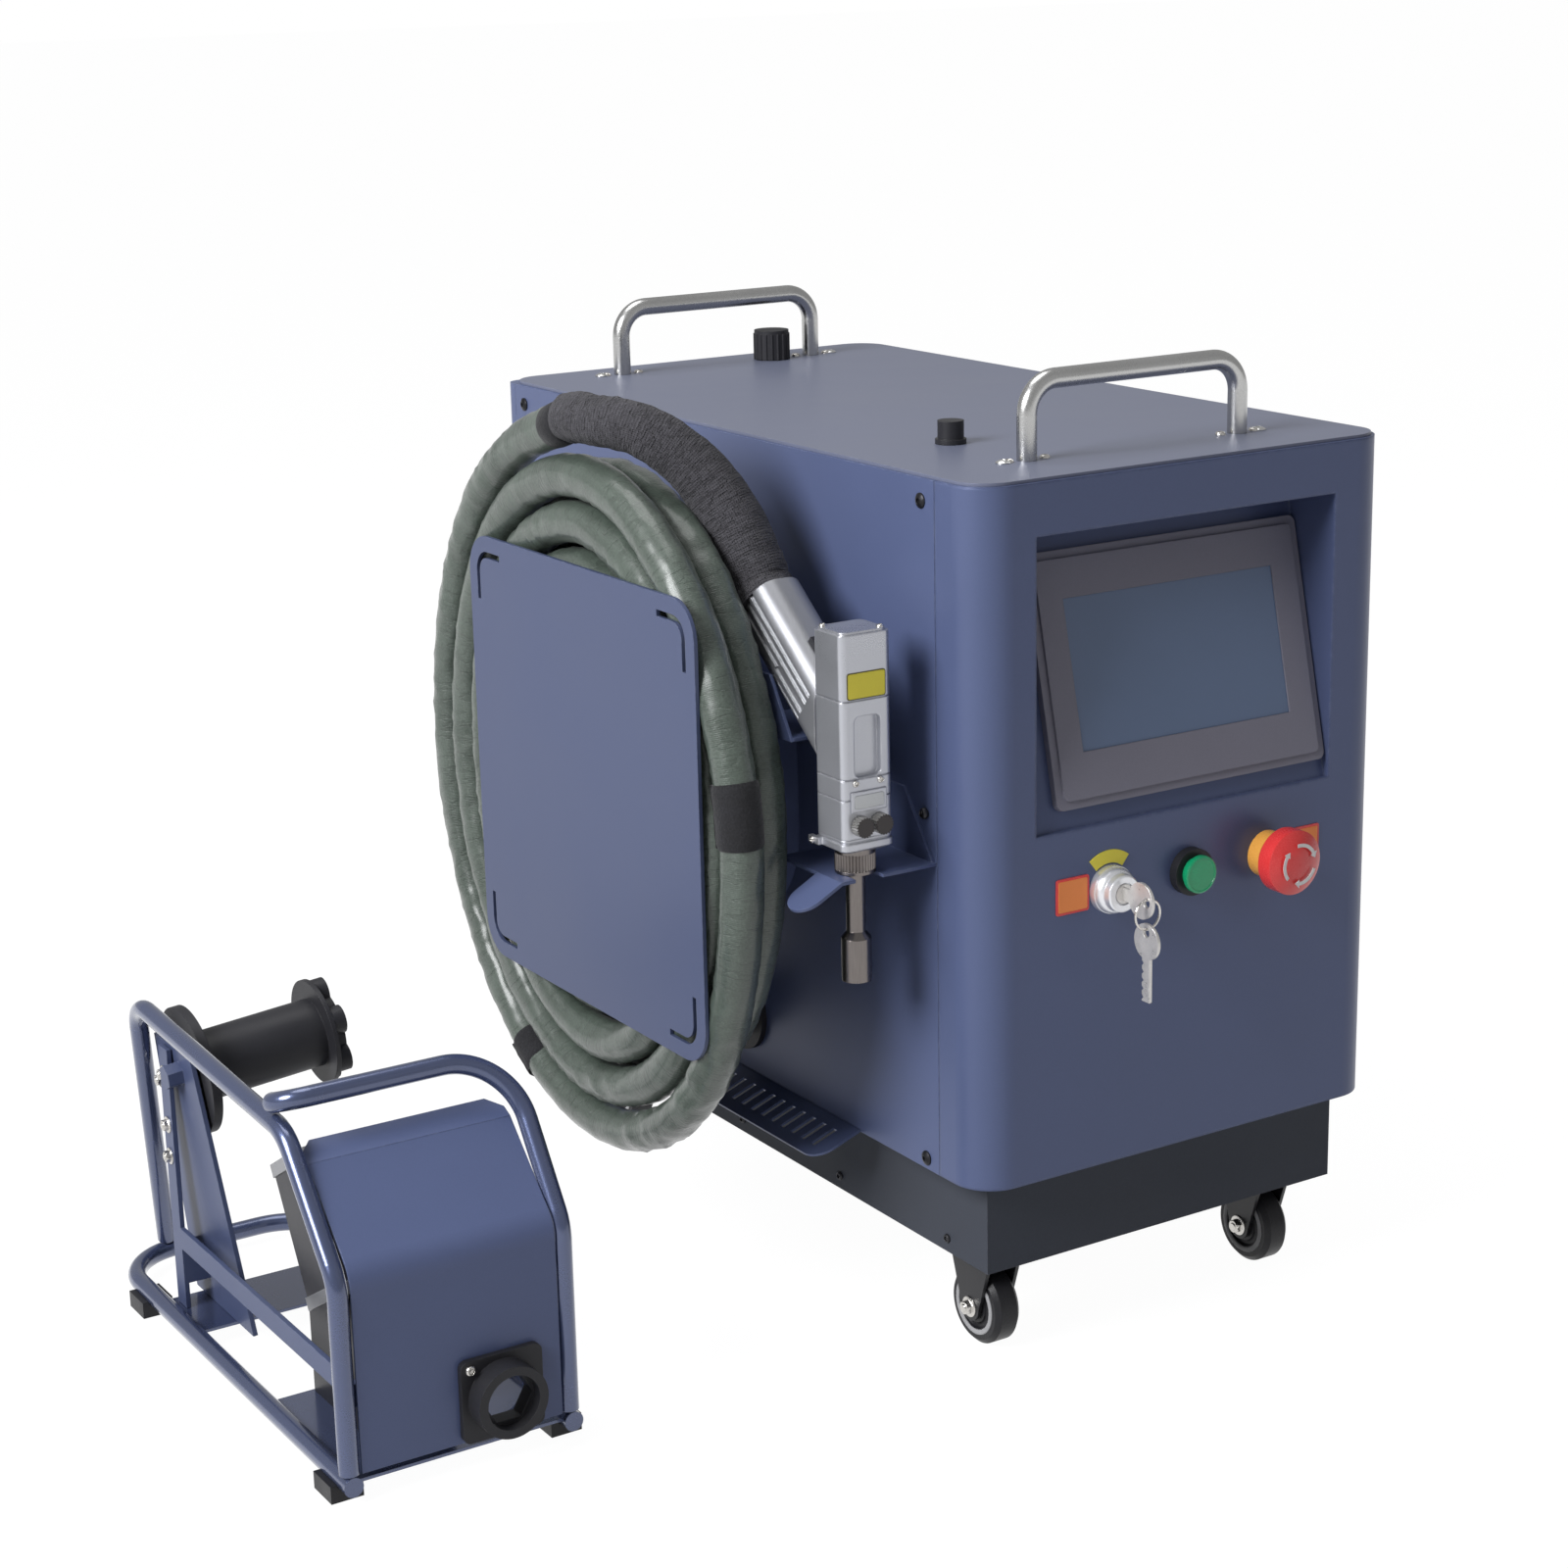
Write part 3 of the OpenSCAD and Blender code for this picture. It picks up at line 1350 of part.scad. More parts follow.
// Feeder hoop: the right front tube that rises and crosses over as the carrying handle
hoop_y = 60;
hoop_z = 222;
hoop_bend = 42;
hoop_end_bend = 16;
hoop_land = 15.5;
module feeder_hoop() {
    color(paint) feeder() bent_tube([
        [feeder_w, 0, rail_z + tube_r + touch], [feeder_w, 0, leg_z], [feeder_w, hoop_y, hoop_z],
        [0, hoop_y, hoop_z], [0, hoop_y + hoop_land, side_tube_z(hoop_y + hoop_land) + hoop_seat]
    ], tube_r, [0, feeder_bend, hoop_bend, hoop_end_bend, 0]);
}
hoop_seat = 2 * tube_r - touch / 2;

// Feeder base: the tube that runs round the floor, with its two plates, upright and middle rail
base_bend = 42;
plate_t = 2;
front_plate_d = 118;
rear_plate_y = 232;
rear_plate_d = 56;
module feeder_base() {
    color(paint) feeder() {
        bent_tube([
            [0, -tube_r, rail_z], [0, feeder_len, rail_z], [feeder_w, feeder_len, rail_z],
            [feeder_w, -tube_r, rail_z]
        ], tube_r, base_bend);
        translate([0, 0, rail_z - plate_t / 2]) cube([feeder_w, front_plate_d, plate_t]);
        translate([0, rear_plate_y, rail_z - plate_t / 2]) cube([feeder_w, rear_plate_d, plate_t]);
    }
}

// Spool plate: the leaning sheet that carries the hub's axle, with its upright and middle rail
spool_lean = 5;
spool_x = 28;
spool_t = 3;
spool_top = 190;
spool_rear = 298;
spool_top_y = 238;
spool_foot_y = 205;
spool_foot_z = rail_z + plate_t / 2 + touch;
hub_axle_r = 5;
hub_gap = 2;
hub_up = hub_z - spool_foot_z;
hub_nut_r = 8;
module leaning() {
    translate([spool_x, 0, spool_foot_z]) rotate([0, -spool_lean, 0]) children();
}
module spool_plate() {
    color(paint) feeder() {
        leaning() {
            rotate([90, 0, 90]) linear_extrude(spool_t) polygon([
                [spool_foot_y, 0], [spool_rear, 0],
                [spool_rear, spool_top - spool_foot_z], [spool_top_y, spool_top - spool_foot_z]
            ]);
            translate([-axle_nut_out, hub_y, hub_up]) rotate([0, 90, 0]) {
                cylinder(r = hub_axle_r, h = axle_nut_out + spool_t + hub_gap + hub_disc_t + hub_len);
                cylinder(r = hub_nut_r, h = axle_nut_out + over, $fn = 6);
            }
        }
        translate([upright_x, upright_y, rail_z + plate_t / 2 + touch])
            cube([flat_t, flat_w, upright_top - rail_z]);
        translate([upright_x, tube_r, middle_z]) cube([flat_t, upright_y + over - tube_r, flat_w]);
        translate([upright_x, upright_y, spool_tab_z]) cube([spool_x - upright_x, flat_w, spool_tab_h]);
    }
}
upright_top = 186;
spool_tab_z = 30;
spool_tab_h = 24;

// Spool hub: flange disc, barrel and lobed retaining nut, turning on the axle
hub_disc_r = 41;
hub_disc_t = 6;
hub_rim_r = 34;
hub_rim_t = 3;
lobe_n = 6;
lobe_r = 9;
lobe_ring = 25;
lobe_t = 8;
module spool_hub() {
    color(black) feeder() leaning() translate([spool_t + hub_gap, hub_y, hub_up]) rotate([0, 90, 0]) difference() {
        union() {
            cylinder(r = hub_disc_r, h = hub_disc_t);
            cylinder(r = hub_r, h = hub_disc_t + hub_len);
            translate([0, 0, hub_disc_t + hub_len]) cylinder(r = hub_rim_r, h = hub_rim_t);
            translate([0, 0, hub_disc_t + hub_len + hub_rim_t]) {
                cylinder(r = lobe_ring, h = lobe_t);
                for (a = [0:lobe_n - 1]) rotate([0, 0, a * 360 / lobe_n])
                    translate([lobe_ring, 0, 0]) cylinder(r = lobe_r, h = lobe_t);
            }
        }
        translate([0, 0, -over]) cylinder(r = hub_axle_r + fit, h = hub_disc_t + hub_len + over + fit);
    }
}

// Feeder cover: one folded sheet with an upright front, a round bend, a sloped top and a back flange
fold_y = -4;
fold_low = 18;
fold_knee = 138;
fold_top_y = 46;
fold_top_z = 188;
fold_back_y = 62;
fold_back_z = 195;
fold_bend = 24;
fold_nick = 12;
cover_in = tube_r + touch;
cover_w = feeder_w - 2 * cover_in;
fold_path = [[fold_y, fold_low], [fold_y, fold_knee], [fold_top_y, fold_top_z], [fold_back_y, fold_back_z]];
fold_angle = [for (i = [0:2]) atan2(fold_path[i + 1][1] - fold_path[i][1], fold_path[i + 1][0] - fold_path[i][0])];
fold_cut = fold_bend * tan((fold_angle[0] - fold_angle[1]) / 2);
module fold_strip(i, skip, gain) {
    translate(fold_path[i]) rotate(fold_angle[i]) translate([skip, -sheet_t])
        square([norm(fold_path[i + 1] - fold_path[i]) - skip + gain, sheet_t]);
}
module fold_profile() {
    fold_strip(0, 0, -fold_cut);
    translate([fold_y + fold_bend, fold_knee - fold_cut]) intersection() {
        difference() {
            circle(fold_bend);
            circle(fold_bend - sheet_t);
        }
        polygon([
            [0, 0], [-2 * fold_bend, 0], [-2 * fold_bend, 2 * fold_bend],
            2 * fold_bend * [cos(fold_angle[1] + 90), sin(fold_angle[1] + 90)]
        ]);
    }
    fold_strip(1, fold_cut, 0);
    fold_strip(2, -sheet_t / 4, 0);
}
module feeder_cover() {
    color(paint) feeder() difference() {
        translate([cover_in, 0, 0]) rotate([90, 0, 90]) linear_extrude(cover_w) fold_profile();
        translate([socket_x, fold_y - over, socket_z]) rotate([-90, 0, 0])
            cylinder(r = socket_r - over, h = sheet_t + 2 * over);
        for (x = [cover_in, cover_in + cover_w]) translate([x, fold_back_y, fold_back_z - 2 * fold_nick])
            rotate([0, 0, 45]) translate([-fold_nick / 2, -fold_nick / 2, 0]) cube([fold_nick, fold_nick, 3 * fold_nick]);
    }
}
socket_x = 94;
socket_z = 44;

// Feeder motor: square body between two light end plates, sloping down to the drive
motor_x = 30;
motor_w = 57;
motor_len = 74;
motor_plate = 8;
motor_slope = 60;
motor_foot_y = 121;
motor_foot_z = 62;
motor_corner = 5;
module along_motor() {
    translate([motor_x, motor_foot_y, motor_foot_z]) rotate([motor_slope - 90, 0, 0]) children();
}
module feeder_motor() {
    color(black) feeder() along_motor() translate([0, -motor_w, 0]) {
        linear_extrude(motor_plate) round_rect(motor_w, motor_w, motor_corner);
        translate([motor_step / 2, motor_step / 2, motor_plate])
            linear_extrude(motor_len) round_rect(motor_w - motor_step, motor_w - motor_step, motor_corner);
        translate([0, 0, motor_plate + motor_len]) linear_extrude(motor_plate) round_rect(motor_w, motor_w, motor_corner);
    }
}
motor_step = 2;

// Feeder drive: the closed roller housing between the motor and the floor plate
drive_y = 44;
drive_d = 72;
module feeder_drive() {
    color(black) feeder() difference() {
        translate([motor_x, drive_y, rail_z + plate_t / 2]) cube([motor_w, drive_d, drive_h]);
        along_motor() translate([-over, -2 * motor_w, -touch]) cube([motor_w + 2 * over, 3 * motor_w, motor_len]);
    }
}
drive_h = 70;

// Feeder socket: square flange, round mouth and a six-sided hole right through
socket_flange = 52;
socket_flange_t = 4;
socket_ring_r = 22;
socket_ring_t = 18;
socket_flats = 27;
socket_mouth = 8;
module feeder_socket() {
    color(black) feeder() translate([socket_x, fold_y - touch, socket_z]) rotate([90, 0, 0]) difference() {
        union() {
            centred_plate(socket_flange, socket_flange - over, corner_r, socket_flange_t);
            cylinder(r = socket_ring_r, h = socket_ring_t);
        }
        translate([0, 0, socket_ring_t - socket_mouth]) cylinder(r = socket_r, h = socket_mouth + over);
        translate([0, 0, -over]) cylinder(r = socket_flats / 2 / cos(30), h = socket_ring_t + 2 * over, $fn = 6);
    }
}

// Feeder feet: four rubber blocks saddled on the base tube
foot_d = 24;
foot_h = rail_z - plate_t / 2 - touch;
foot_in = 4;
module foot(x, y) {
    difference() {
        translate([x - foot_w / 2, y, 0]) cube([foot_w, foot_d, foot_h]);
        translate([x, y - over, rail_z]) rotate([-90, 0, 0]) cylinder(r = tube_r + fit, h = foot_d + 2 * over);
        translate([x - tube_r - fit, y - over, rail_z]) cube([2 * (tube_r + fit), foot_d + 2 * over, foot_h]);
    }
}
module feeder_feet() {
    color(black) feeder() for (x = [0, feeder_w], y = [foot_in, feeder_len - base_bend - foot_d - foot_in])
        foot(x, y);
}

base_tray();
chassis();
front_cover();
left_panel();
right_panel();
rear_cover();
lid();
cabinet_screws();
front_handle();
rear_handle();
display_unit();
display_screen();
laser_source();
power_supply();
water_tank();
radiator();
fan_frame();
fan_rotor();
filler_cap();
fittings();
front_forks();
front_wheel_left();
front_wheel_right();
rear_fork_left();
rear_fork_right();
rear_wheel_left();
rear_wheel_right();
estop_base();
estop_stem();
estop_head();
start_bezel();
start_button();
key_housing();
key();
key_ring();
spare_key();
hanger_plate();
hanger_drum();
gun_brackets();
hose_port();
hose_coil();
hose_tail();
hose_lead();
gun_head();
gun_handle();
gun_nozzle();
lens_drawer();
thumb_screw_left();
thumb_screw_right();
gun_trigger();
feeder_side();
feeder_hoop();
feeder_base();
spool_plate();
feeder_cover();
feeder_motor();
feeder_drive();
spool_hub();
feeder_socket();
feeder_feet();
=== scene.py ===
"""Laser welding machine with its hand gun, hose and wire feeder: finishes and fine pieces."""

import math
from functools import partial

import bmesh
import bpy
from bpy.props import FloatProperty, FloatVectorProperty, PointerProperty
from mathutils import Matrix, Vector, noise


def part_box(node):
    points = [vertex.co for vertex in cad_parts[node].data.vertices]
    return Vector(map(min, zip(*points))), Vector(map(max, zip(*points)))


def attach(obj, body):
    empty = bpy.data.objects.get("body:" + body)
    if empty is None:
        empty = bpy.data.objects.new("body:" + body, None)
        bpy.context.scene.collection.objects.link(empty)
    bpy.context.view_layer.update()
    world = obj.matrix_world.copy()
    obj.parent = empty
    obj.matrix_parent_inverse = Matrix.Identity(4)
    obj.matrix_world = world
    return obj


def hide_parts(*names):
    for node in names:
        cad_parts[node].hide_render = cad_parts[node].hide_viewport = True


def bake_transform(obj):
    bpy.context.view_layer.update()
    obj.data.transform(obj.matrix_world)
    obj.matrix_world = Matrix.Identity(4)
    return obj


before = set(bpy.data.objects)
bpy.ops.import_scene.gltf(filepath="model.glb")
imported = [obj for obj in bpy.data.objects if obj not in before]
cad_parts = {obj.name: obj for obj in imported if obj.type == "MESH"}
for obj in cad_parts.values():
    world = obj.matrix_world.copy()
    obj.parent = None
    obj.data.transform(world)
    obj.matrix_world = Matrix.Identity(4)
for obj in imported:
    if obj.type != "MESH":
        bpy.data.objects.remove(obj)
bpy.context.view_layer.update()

bl_info = {
    "name": "Laser welding machine",
    "version": (1, 0, 0),
    "blender": (4, 5, 0),
    "location": "3D View > Sidebar > Welder",
    "description": "Cabinet, coiled hose, welding gun and wire feeder with their finishes",
    "category": "Object",
}

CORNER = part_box("front_cover")[0]  # the cabinet's front left edge, over the floor
MM = 0.001
LEFT, RIGHT, FRONT, DOWN, UP = (-1, 0, 0), (1, 0, 0), (0, -1, 0), (0, 0, -1), (0, 0, 1)
WHITE = (1.0, 1.0, 1.0, 1.0)


def at(x, y, z):
    """A point given in millimetres from the cabinet's front left edge and the floor."""
    return Vector((CORNER[0] + x * MM, CORNER[1] + y * MM, z * MM))


# ---- settings

Length = partial(FloatProperty, unit="LENGTH")
Colour = partial(FloatVectorProperty, subtype="COLOR")
Level = FloatProperty


class HoseSettings(bpy.types.PropertyGroup):
    radius: Length(name="Sleeve radius", description="Half the sleeve's width", default=0.013)
    crease: Length(name="Crease depth", description="How deep the sleeve wrinkles", default=0.0011)
    grip_radius: Length(
        name="Wrap radius at the gun", description="Where the cloth wrap starts", default=0.0193
    )
    coil_radius: Length(
        name="Wrap radius at the coil", description="Where the cloth wrap ends", default=0.0148
    )
    sleeve: Colour(
        name="Sleeve", description="Colour of the woven sleeve", default=(0.076, 0.099, 0.081)
    )
    wrap: Colour(name="Wrap", description="Colour of the cloth wrap", default=(0.066, 0.064, 0.073))


class PaintSettings(bpy.types.PropertyGroup):
    cabinet: Colour(
        name="Cabinet", description="Satin powder coat of the sheets and frames",
        default=(0.086, 0.110, 0.215),
    )
    # The lid's paint is paler and greyer than the cabinet's; part of that is painted reflection of
    # the light on the top.
    lid: Colour(name="Lid", description="Powder coat of the lid", default=(0.15, 0.165, 0.235))
    tray: Colour(
        name="Tray", description="Dark powder coat of the base tray",
        default=(0.055, 0.061, 0.077),
    )
    plastic: Colour(
        name="Black plastic", description="Moulded black parts", default=(0.022, 0.022, 0.026)
    )
    bezel: Colour(
        name="Display frame", description="Textured grey frame of the display",
        default=(0.23, 0.225, 0.28),
    )


class FastenerSettings(bpy.types.PropertyGroup):
    bolt: Length(
        name="Feeder bolt", description="Head radius of the feeder frame's bolts", default=0.0042
    )
    gun: Length(name="Gun screw", description="Head radius of the gun's screws", default=0.0022)


class StageSettings(bpy.types.PropertyGroup):
    key: Level(name="Key light", description="Power of the soft light on the left", default=105.0)
    fill: Level(name="Fill light", description="Power of the soft light in front", default=1.0)
    top: Level(name="Top light", description="Power of the soft light overhead", default=20.0)
    sky: Level(name="Room light", description="Strength of the even light all round", default=0.24)
    glow: Level(
        name="Room in reflections", description="Strength of the room that surfaces mirror",
        default=0.42,
    )
    floor_width: Length(name="Floor", description="Width of the floor", default=60.0)


# ---- materials

GLOSS, COAT_ROUGHNESS = 0.28, 0.25
NOISE_LOW, NOISE_HIGH = 0.3, 0.7  # where a noise mostly stays
EDGE_BEGINS, EDGE_FULL = 0.995, 0.8  # how far a rounded normal turns at a rubbed edge
# PAINTED_CREASE_SHADE is the share of the cloth's colour left in its creases: painted shade
CREASE_WIDTH, PAINTED_CREASE_SHADE, CLOTH_DRIFT = 0.045, 0.86, 0.14


def add(tree, kind, values=None, **settings):
    """A node with its settings; a value that is a socket is linked."""
    node = tree.nodes.new(kind)
    for key, value in settings.items():
        setattr(node, key, value)
    for key, value in (values or {}).items():
        if isinstance(value, bpy.types.NodeSocket):
            tree.links.new(value, node.inputs[key])
        else:
            node.inputs[key].default_value = value
    return node


def maths(tree, operation, *values, clamp=False):
    """What a Math node makes of the values."""
    values = dict(enumerate(values))
    return add(tree, "ShaderNodeMath", values, operation=operation, use_clamp=clamp).outputs[0]


def ranged(tree, value, low, high, to_low, to_high):
    """The value's run from low to high, taken from to_low to to_high."""
    return add(
        tree, "ShaderNodeMapRange",
        {"Value": value, "From Min": low, "From Max": high, "To Min": to_low, "To Max": to_high},
    ).outputs[0]


def spread(tree, cloud, low=0.0, high=1.0):
    """A noise's usual run, taken from low to high."""
    return ranged(tree, cloud, NOISE_LOW, NOISE_HIGH, low, high)


def clouds(tree, place, scale, detail, **more):
    values = {"Vector": place, "Scale": scale, "Detail": detail, **more}
    return add(tree, "ShaderNodeTexNoise", values).outputs[0]


def dotted(tree, one, other):
    """The dot product of two vectors."""
    values = {0: one, 1: other}
    return add(tree, "ShaderNodeVectorMath", values, operation="DOT_PRODUCT").outputs["Value"]


def scaled(colour, factor):
    return tuple(min(1.0, c * factor) for c in colour[:3]) + (1.0,)


def blended(tree, factor, dark, light, kind="MIX"):
    """Two colours mixed, or one multiplied by the other."""
    return add(tree, "ShaderNodeMix", {"Factor": factor, 6: dark, 7: light},
               data_type="RGBA", blend_type=kind).outputs[2]


def bumped(tree, height, depth, under=None):
    """The normal of a relief, over another normal if there is one."""
    values = {"Height": height, "Strength": 1.0, "Distance": depth}
    if under is not None:
        values["Normal"] = under
    return add(tree, "ShaderNodeBump", values).outputs[0]


def blank(name, roughness, metallic=0.0, coat=0.0, sheen=0.0):
    """A new material: itself, its tree and its shader's sockets."""
    material = bpy.data.materials.new(name)
    material.use_nodes = True
    shader = shader_of(material)
    for socket, value in (
        ("Roughness", roughness), ("Metallic", metallic), ("Specular IOR Level", GLOSS),
        ("Coat Weight", coat), ("Coat Roughness", COAT_ROUGHNESS), ("Sheen Weight", sheen),
    ):
        shader[socket].default_value = value
    return material, material.node_tree, shader


def shader_of(material):
    return material.node_tree.nodes["Principled BSDF"].inputs


def finish(
    name, colour, roughness, metallic=0.0, coat=0.0, grain=1500.0, depth=0.00004,
    speck=0.08, cloud=0.10, patches=11.0, swing=0.08, worn=None, worn_width=0.0007,
    worn_share=0.5, stretch=(1.0, 1.0, 1.0), sheen=0.0,
):
    """A moulded, painted or metal finish with grain, drift of tone and rubbed edges."""
    material, tree, shader = blank(name, roughness, metallic, coat, sheen)
    place = add(tree, "ShaderNodeTexCoord").outputs["Object"]
    along = add(tree, "ShaderNodeMapping", {"Vector": place, "Scale": stretch}).outputs[0]
    fine, broad = clouds(tree, along, grain, 2.0), clouds(tree, place, patches, 4.0)
    tone = blended(tree, spread(tree, broad), scaled(colour, 1 - cloud), scaled(colour, 1 + cloud))
    dots = blended(tree, spread(tree, fine), scaled(WHITE, 1 - speck), WHITE)
    tone = blended(tree, 1.0, tone, dots, "MULTIPLY")
    soft = add(tree, "ShaderNodeBevel", {"Radius": worn_width}, samples=4).outputs[0]
    if worn:
        flat = add(tree, "ShaderNodeNewGeometry").outputs["Normal"]
        edge = ranged(tree, dotted(tree, soft, flat), EDGE_BEGINS, EDGE_FULL, 0.0, 1.0)
        patch = ranged(tree, clouds(tree, place, 160.0, 5.0), 0.45, 0.65, 0.0, worn_share)
        tone = blended(tree, maths(tree, "MULTIPLY", edge, patch), tone, scaled(worn, 1.0))
    tree.links.new(tone, shader["Base Color"])
    rough = spread(tree, broad, roughness - swing, roughness + swing)
    smear = maths(tree, "MULTIPLY_ADD", maths(tree, "SUBTRACT", fine, 0.5), swing, rough)
    tree.links.new(smear, shader["Roughness"])
    tree.links.new(bumped(tree, fine, depth, soft), shader["Normal"])
    return material


def woven(
    name, colour, threads, pitch, depth, roughness, sheen, fuzz, wrinkle, rate, across, coat=0.0
):
    """Cloth on the cord's own map: threads run round and along it, it wrinkles crosswise, and its
    colour is darkened in the creases as painted shade.
    """
    material, tree, shader = blank(name, roughness, 0.0, coat, sheen)
    shader["Sheen Roughness"].default_value = 0.4
    uv = add(tree, "ShaderNodeUVMap", uv_map="Wrap").outputs[0]
    turn, length, _ = add(tree, "ShaderNodeSeparateXYZ", {0: uv}).outputs
    place = add(tree, "ShaderNodeTexCoord").outputs["Object"]

    def wave(of, often, ahead=0.0):
        angle = maths(tree, "MULTIPLY", of, often * math.tau)
        return maths(tree, "SINE", maths(tree, "ADD", angle, ahead) if ahead else angle)

    weave = maths(tree, "MAXIMUM", wave(length, 1 / pitch), wave(turn, threads))
    side, front = wave(turn, 1.0), wave(turn, 1.0, math.pi / 2)
    spot = add(tree, "ShaderNodeCombineXYZ", {0: side, 1: front, 2: length}).outputs[0]
    spot = add(tree, "ShaderNodeMapping", {"Vector": spot, "Scale": (across, across, rate)})
    wrinkles = clouds(tree, spot.outputs[0], 1.0, 3.0, Roughness=0.5, Distortion=0.15)
    off = maths(tree, "ABSOLUTE", maths(tree, "SUBTRACT", wrinkles, 0.5))
    crease = ranged(tree, off, 0.0, CREASE_WIDTH, 0.0, 1.0)
    patch, lint = clouds(tree, place, 34.0, 5.0), clouds(tree, place, 700.0, 3.0)
    tone = blended(tree, spread(tree, patch), scaled(colour, 1 - CLOTH_DRIFT),
                   scaled(colour, 1 + CLOTH_DRIFT))
    weave_and_painted_crease_shade = maths(tree, "MULTIPLY", ranged(tree, weave, -0.4, 1.0, 1 - fuzz, 1.0),
                  spread(tree, lint, 1 - fuzz, 1 + fuzz / 2))
    # painted shade: the cloth's colour darkens along its creases
    weave_and_painted_crease_shade = maths(tree, "MULTIPLY", weave_and_painted_crease_shade, ranged(tree, crease, 0.0, 1.0, PAINTED_CREASE_SHADE, 1.0))
    grey = add(tree, "ShaderNodeCombineColor", {0: weave_and_painted_crease_shade, 1: weave_and_painted_crease_shade, 2: weave_and_painted_crease_shade}).outputs[0]
    tone = blended(tree, 1.0, tone, grey, "MULTIPLY")
    tree.links.new(tone, shader["Base Color"])
    pulled = bumped(tree, maths(tree, "MULTIPLY_ADD", crease, 0.5, wrinkles), wrinkle)
    height = maths(tree, "MULTIPLY_ADD", weave, 0.5, lint)
    tree.links.new(bumped(tree, height, depth, pulled), shader["Normal"])
    rough = spread(tree, patch, roughness - 0.07, roughness + 0.07)
    tree.links.new(rough, shader["Roughness"])
    return material


def banded(material, way, low, high, outside, smooth, metallic):
    """The finish stays between two points along a way, and is another beyond them."""
    tree, shader = material.node_tree, shader_of(material)
    way = Vector(way).normalized()
    first, last = way.dot(low), way.dot(high)
    place = add(tree, "ShaderNodeTexCoord").outputs["Object"]
    along = dotted(tree, place, tuple(way))
    inside = maths(tree, "COMPARE", along, (first + last) / 2, (last - first) / 2)
    tone, rough = (shader[key].links[0].from_socket for key in ("Base Color", "Roughness"))
    tree.links.new(blended(tree, inside, outside + (1.0,), tone), shader["Base Color"])
    mixed = add(tree, "ShaderNodeMix", {"Factor": inside, 2: smooth, 3: rough}).outputs[0]
    tree.links.new(mixed, shader["Roughness"])
    was = shader["Metallic"].default_value
    tree.links.new(ranged(tree, inside, 0.0, 1.0, metallic, was), shader["Metallic"])
    return material


FINISHES = {}


def dress(names, material):
    """Gives CAD nodes, by name, a finish."""
    for name in names.split():
        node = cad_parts[name]
        if not node.material_slots:
            node.data.materials.append(material)
        for slot in node.material_slots:
            slot.material = material


# ---- meshes


def as_object(name, mesh, material, sharp):
    """An object of the mesh, smooth but for edges that bend by more than sharp degrees."""
    if material:
        mesh.materials.append(material)
    for face in mesh.polygons:
        face.use_smooth = True
    mesh.set_sharp_from_angle(angle=math.radians(sharp))
    obj = bpy.data.objects.new(name, mesh)
    bpy.context.collection.objects.link(obj)
    return obj


def turn_outward(mesh, merge=0.0):
    """Turns the faces outward, once points that lie together are one."""
    build = bmesh.new()
    build.from_mesh(mesh)
    if merge:
        bmesh.ops.remove_doubles(build, verts=build.verts, dist=merge)
    bmesh.ops.recalc_face_normals(build, faces=build.faces)
    build.to_mesh(mesh)
    build.free()


def mesh_of(name, points, faces=()):
    mesh = bpy.data.meshes.new(name)
    mesh.from_pydata([tuple(p) for p in points], [], faces)
    return mesh


def from_faces(name, points, faces, material, sharp=38.0):
    mesh = mesh_of(name, points, faces)
    turn_outward(mesh, 1e-7)
    return as_object(name, mesh, material, sharp)


def skin(rings, loop=False):
    """A closed skin over rings of as many points; a loop joins the last ring to the first."""
    count = len(rings[0])
    points = [p for ring in rings for p in ring]
    faces = []
    for i in range(len(rings) if loop else len(rings) - 1):
        a, b = i * count, (i + 1) % len(rings) * count
        for k in range(count):
            m = (k + 1) % count
            faces.append((a + k, a + m, b + m, b + k))
    if not loop:
        faces.append(tuple(range(count))[::-1])
        faces.append(tuple(range(len(points) - count, len(points))))
    return points, faces


def joined(name, parts, material, sharp):
    """One mesh of several skins."""
    points, faces = [], []
    for more, cells in parts:
        start = len(points)
        points += more
        faces += [tuple(start + i for i in cell) for cell in cells]
    return from_faces(name, points, faces, material, sharp)


def axes_of(direction):
    """Two directions square to the given one, and itself."""
    z = Vector(direction).normalized()
    x = z.cross(Vector(UP))
    if x.length < 1e-3:
        x = z.cross(Vector((0, 1, 0)))
    x.normalize()
    return x, z.cross(x), z


def ring_round(middle, x, y, radius, around):
    """Points round a middle; the radius may be a function of the angle."""
    ring = []
    for k in range(around):
        angle = math.tau * k / around
        r = radius(angle) if callable(radius) else radius
        ring.append(middle + x * (r * math.cos(angle)) + y * (r * math.sin(angle)))
    return ring


def turned(centre, direction, profile, around, loop=False):
    """A turned shape of (radius, height) pairs in metres."""
    x, y, z = axes_of(direction)
    rings = [ring_round(Vector(centre) + z * height, x, y, radius, around)
             for radius, height in profile]
    return skin(rings, loop)


def polygon_radius(sides, across):
    """The radius, at each angle, of an even-sided form so wide across its flats."""
    share = math.tau / sides
    return lambda angle: across / 2 / math.cos((angle + share / 2) % share - share / 2)


def plate(edge, normal, thickness):
    """A flat sheet: its edge's points at the back and the way it faces."""
    step = Vector(normal).normalized() * thickness
    return skin([[Vector(p) for p in edge], [Vector(p) + step for p in edge]])


def outline(x, z, w, h, r):
    """Points round an oblong with round corners, in millimetres."""
    out = []
    for cx, cz, first in ((1, 1, 0), (-1, 1, 90), (-1, -1, 180), (1, -1, 270)):
        for k in range(5):
            angle = math.radians(first + 22.5 * k)
            out.append((x + cx * (w / 2 - r) + r * math.cos(angle),
                        z + cz * (h / 2 - r) + r * math.sin(angle)))
    return out


